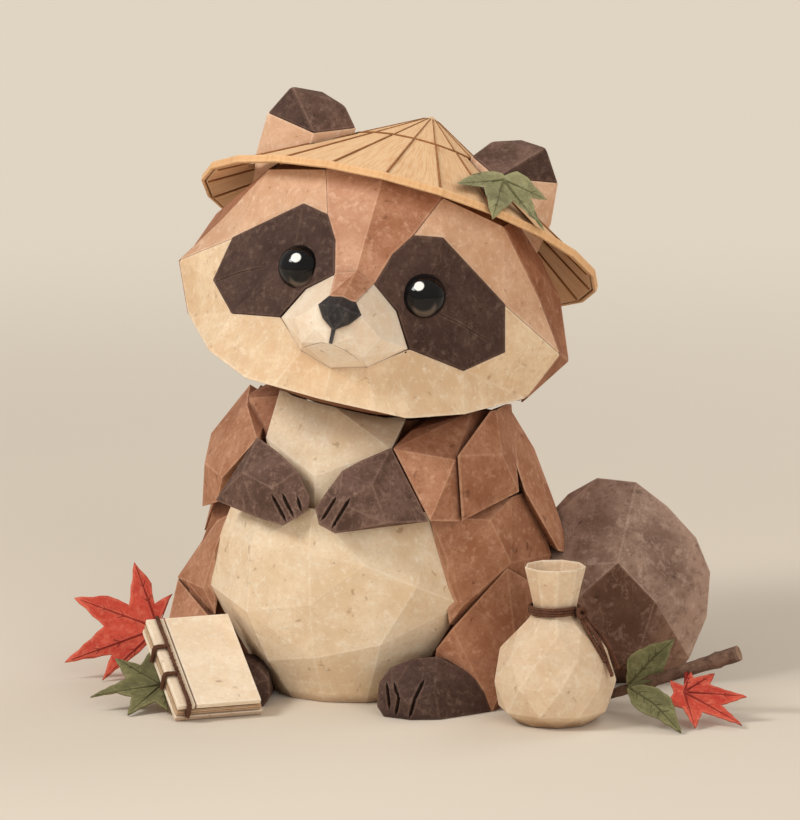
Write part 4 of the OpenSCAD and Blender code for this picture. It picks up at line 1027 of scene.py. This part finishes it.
def sack_piece():
    """A sack folded from one sheet: triangles round its belly, a pleated neck and an open mouth."""
    bm = bmesh.new()
    rings = []
    for row, (wide, high, turn) in enumerate(SACK_RINGS):
        ring = []
        for k in range(SACK_SIDES):
            a = math.radians(12) + math.tau * (k + turn / 2) / SACK_SIDES
            uneven = 0.012 * math.sin(k * 2.6 + row * 1.7)
            reach = SACK_R * wide * (1 + (0 if wide == 1 else uneven))
            up = SACK_H * (high + (uneven if row in (3, 4) else 0))
            spot = SACK_PLACE + Vector((math.cos(a) * reach, math.sin(a) * reach, up))
            ring.append(bm.verts.new(spot * MM))
        rings.append(ring)
    for row, (a, b) in enumerate(zip(rings, rings[1:])):
        ta, tb = SACK_RINGS[row][2], SACK_RINGS[row + 1][2]
        for k in range(SACK_SIDES):
            n = (k + 1) % SACK_SIDES
            if ta == tb:
                bm.faces.new((a[k], a[n], b[n], b[k]))
            elif tb:
                bm.faces.new((a[k], a[n], b[k]))
                bm.faces.new((b[k], a[n], b[n]))
            else:
                bm.faces.new((a[k], b[n], b[k]))
                bm.faces.new((a[k], a[n], b[n]))
    bm.faces.new(rings[0][::-1])
    bm.faces.new(rings[-1])
    face_out(bm)
    rounded(add_piece("sack_body.folded", bm, [SACK], "sack_body", smooth=False), 0.5)


def tie_piece():
    """A cord wound three times round the sack's neck, with a knot and loose ends."""
    bm = bmesh.new()
    neck = 0.36 * SACK_R + 0.75
    turns, steps, first = 3, 24, math.radians(75)
    wind = []
    for k in range(turns * steps + 1):
        a = first + math.tau * k / steps
        up = 0.72 * SACK_H - 1.3 + 2.6 * k / (turns * steps)
        wind.append(SACK_PLACE + Vector((math.sin(a) * neck, -math.cos(a) * neck, up)))
    add_twine(bm, wind, 0.72, 3.0, 2)
    turn = Matrix.Rotation(first, 4, "Z")
    # The knot, then three ends: radius, pitch, steps, and places by side, out and up
    for radius, pitch, count, line in (
            (0.8, 3.0, 6, ((-0.05, 0.42, 0.74), (0.07, 0.5, 0.735), (0.06, 0.53, 0.7), (-0.06, 0.52, 0.695),
                           (-0.07, 0.48, 0.73), (0.02, 0.53, 0.745), (0.08, 0.46, 0.7))),
            (0.78, 3.4, 14, ((0, 0.46, 0.71), (0.02, 0.8, 0.56), (0.07, 1.04, 0.33))),
            (0.78, 3.4, 14, ((0.02, 0.47, 0.71), (0.16, 0.82, 0.56), (0.3, 1.02, 0.36))),
            (0.78, 3.4, 14, ((0, 0.46, 0.70), (-0.02, 0.74, 0.55), (0.02, 0.95, 0.42)))):
        add_twine(bm, [SACK_PLACE + turn @ Vector((side * SACK_R, -out * SACK_R, up * SACK_H))
                       for side, out, up in line], radius, pitch, count)
    add_piece("sack_tie.twine", bm, [THREAD], "sack_tie")


sack_piece()
tie_piece()


# Floor, light and camera

# Where the camera aims, how far off it is, how wide it sees there and how wide its film is
AIM = (VIEW_RIGHT * (1 + GRID_ZERO.x) + VIEW_UP * GRID_ZERO.y) * MM
FAR, WIDE, SENSOR = 2.0, 0.272, 36
FLOOR_HALF = 7
BACKDROP = (224, 212, 195)


def floor_piece():
    """A wide pale floor that keeps the shadow near the figure and is an even backdrop far from it."""
    bm = bmesh.new()
    corners = [(-1, -1), (1, -1), (1, 1), (-1, 1)]
    bm.faces.new([bm.verts.new((x * FLOOR_HALF, y * FLOOR_HALF, -0.2 * MM)) for x, y in corners])
    material, t, shader = blank_material("pale floor")
    place = t.add("ShaderNodeTexCoord").outputs["Object"]
    reach = t.add("ShaderNodeVectorMath", {0: place}, operation="LENGTH").outputs["Value"]
    far = t.spread(reach, 0.25, 1.1)
    seen = t.add("ShaderNodeLightPath").outputs["Is Camera Ray"]
    lit = t.mix(t.noise(place, 3.0), linear(222, 211, 195), linear(227, 216, 200))
    share, black = t.times(far, seen), linear(0, 0, 0)
    t.fill(shader, {"Base Color": t.mix(share, lit, black), "Roughness": 0.95, "Specular IOR Level": 0.0,
                    "Emission Color": t.mix(share, black, linear(*BACKDROP)), "Emission Strength": 1.0})
    obj = placed("floor", mesh_of(bm, "floor"))
    obj.data.materials.append(material)


def lamp(name, place, power, size, colour=(1, 1, 1), mirrored=False):
    light = bpy.data.lights.new(name, "AREA")
    light.energy = power
    light.size = size
    light.color = colour
    obj = placed(name, light)
    obj.location = place
    obj.visible_glossy = mirrored
    obj.rotation_euler = (Vector((0.0, 0.0, 0.09)) - Vector(place)).to_track_quat("-Z", "Y").to_euler()


floor_piece()
lamp("key", (-0.75, -0.75, 0.95), 10.1, 0.4, (1, 0.985, 0.96), mirrored=True)
lamp("fill", (0.85, -0.8, 0.45), 4.8, 0.8, (1, 0.985, 0.97))
lamp("back", (0.5, 0.8, 0.9), 3.0, 0.6)

world = bpy.data.worlds.new("studio")
SCENE.world = world
world.use_nodes = True
world.node_tree.nodes.clear()
sky = Tree(world.node_tree)
soft = sky.add("ShaderNodeBackground", {"Color": (1, 0.945, 0.875, 1), "Strength": 0.45}).outputs[0]
plain = sky.add("ShaderNodeBackground", {"Color": linear(*BACKDROP), "Strength": 1.0}).outputs[0]
seen_ray = sky.add("ShaderNodeLightPath").outputs["Is Camera Ray"]
both = sky.add("ShaderNodeMixShader", {0: seen_ray, 1: soft, 2: plain}).outputs[0]
sky.add("ShaderNodeOutputWorld", {"Surface": both})

camera = bpy.data.cameras.new("camera")
camera.sensor_fit = "HORIZONTAL"
camera.sensor_width = SENSOR
camera.lens = SENSOR * FAR / WIDE
camera.clip_end = 20
view = placed("camera", camera)
view.location = AIM + VIEW_OUT * FAR
view.rotation_euler = VIEW_OUT.to_track_quat("Z", "Y").to_euler()
SCENE.camera = view
SCENE.view_settings.view_transform = "Standard"
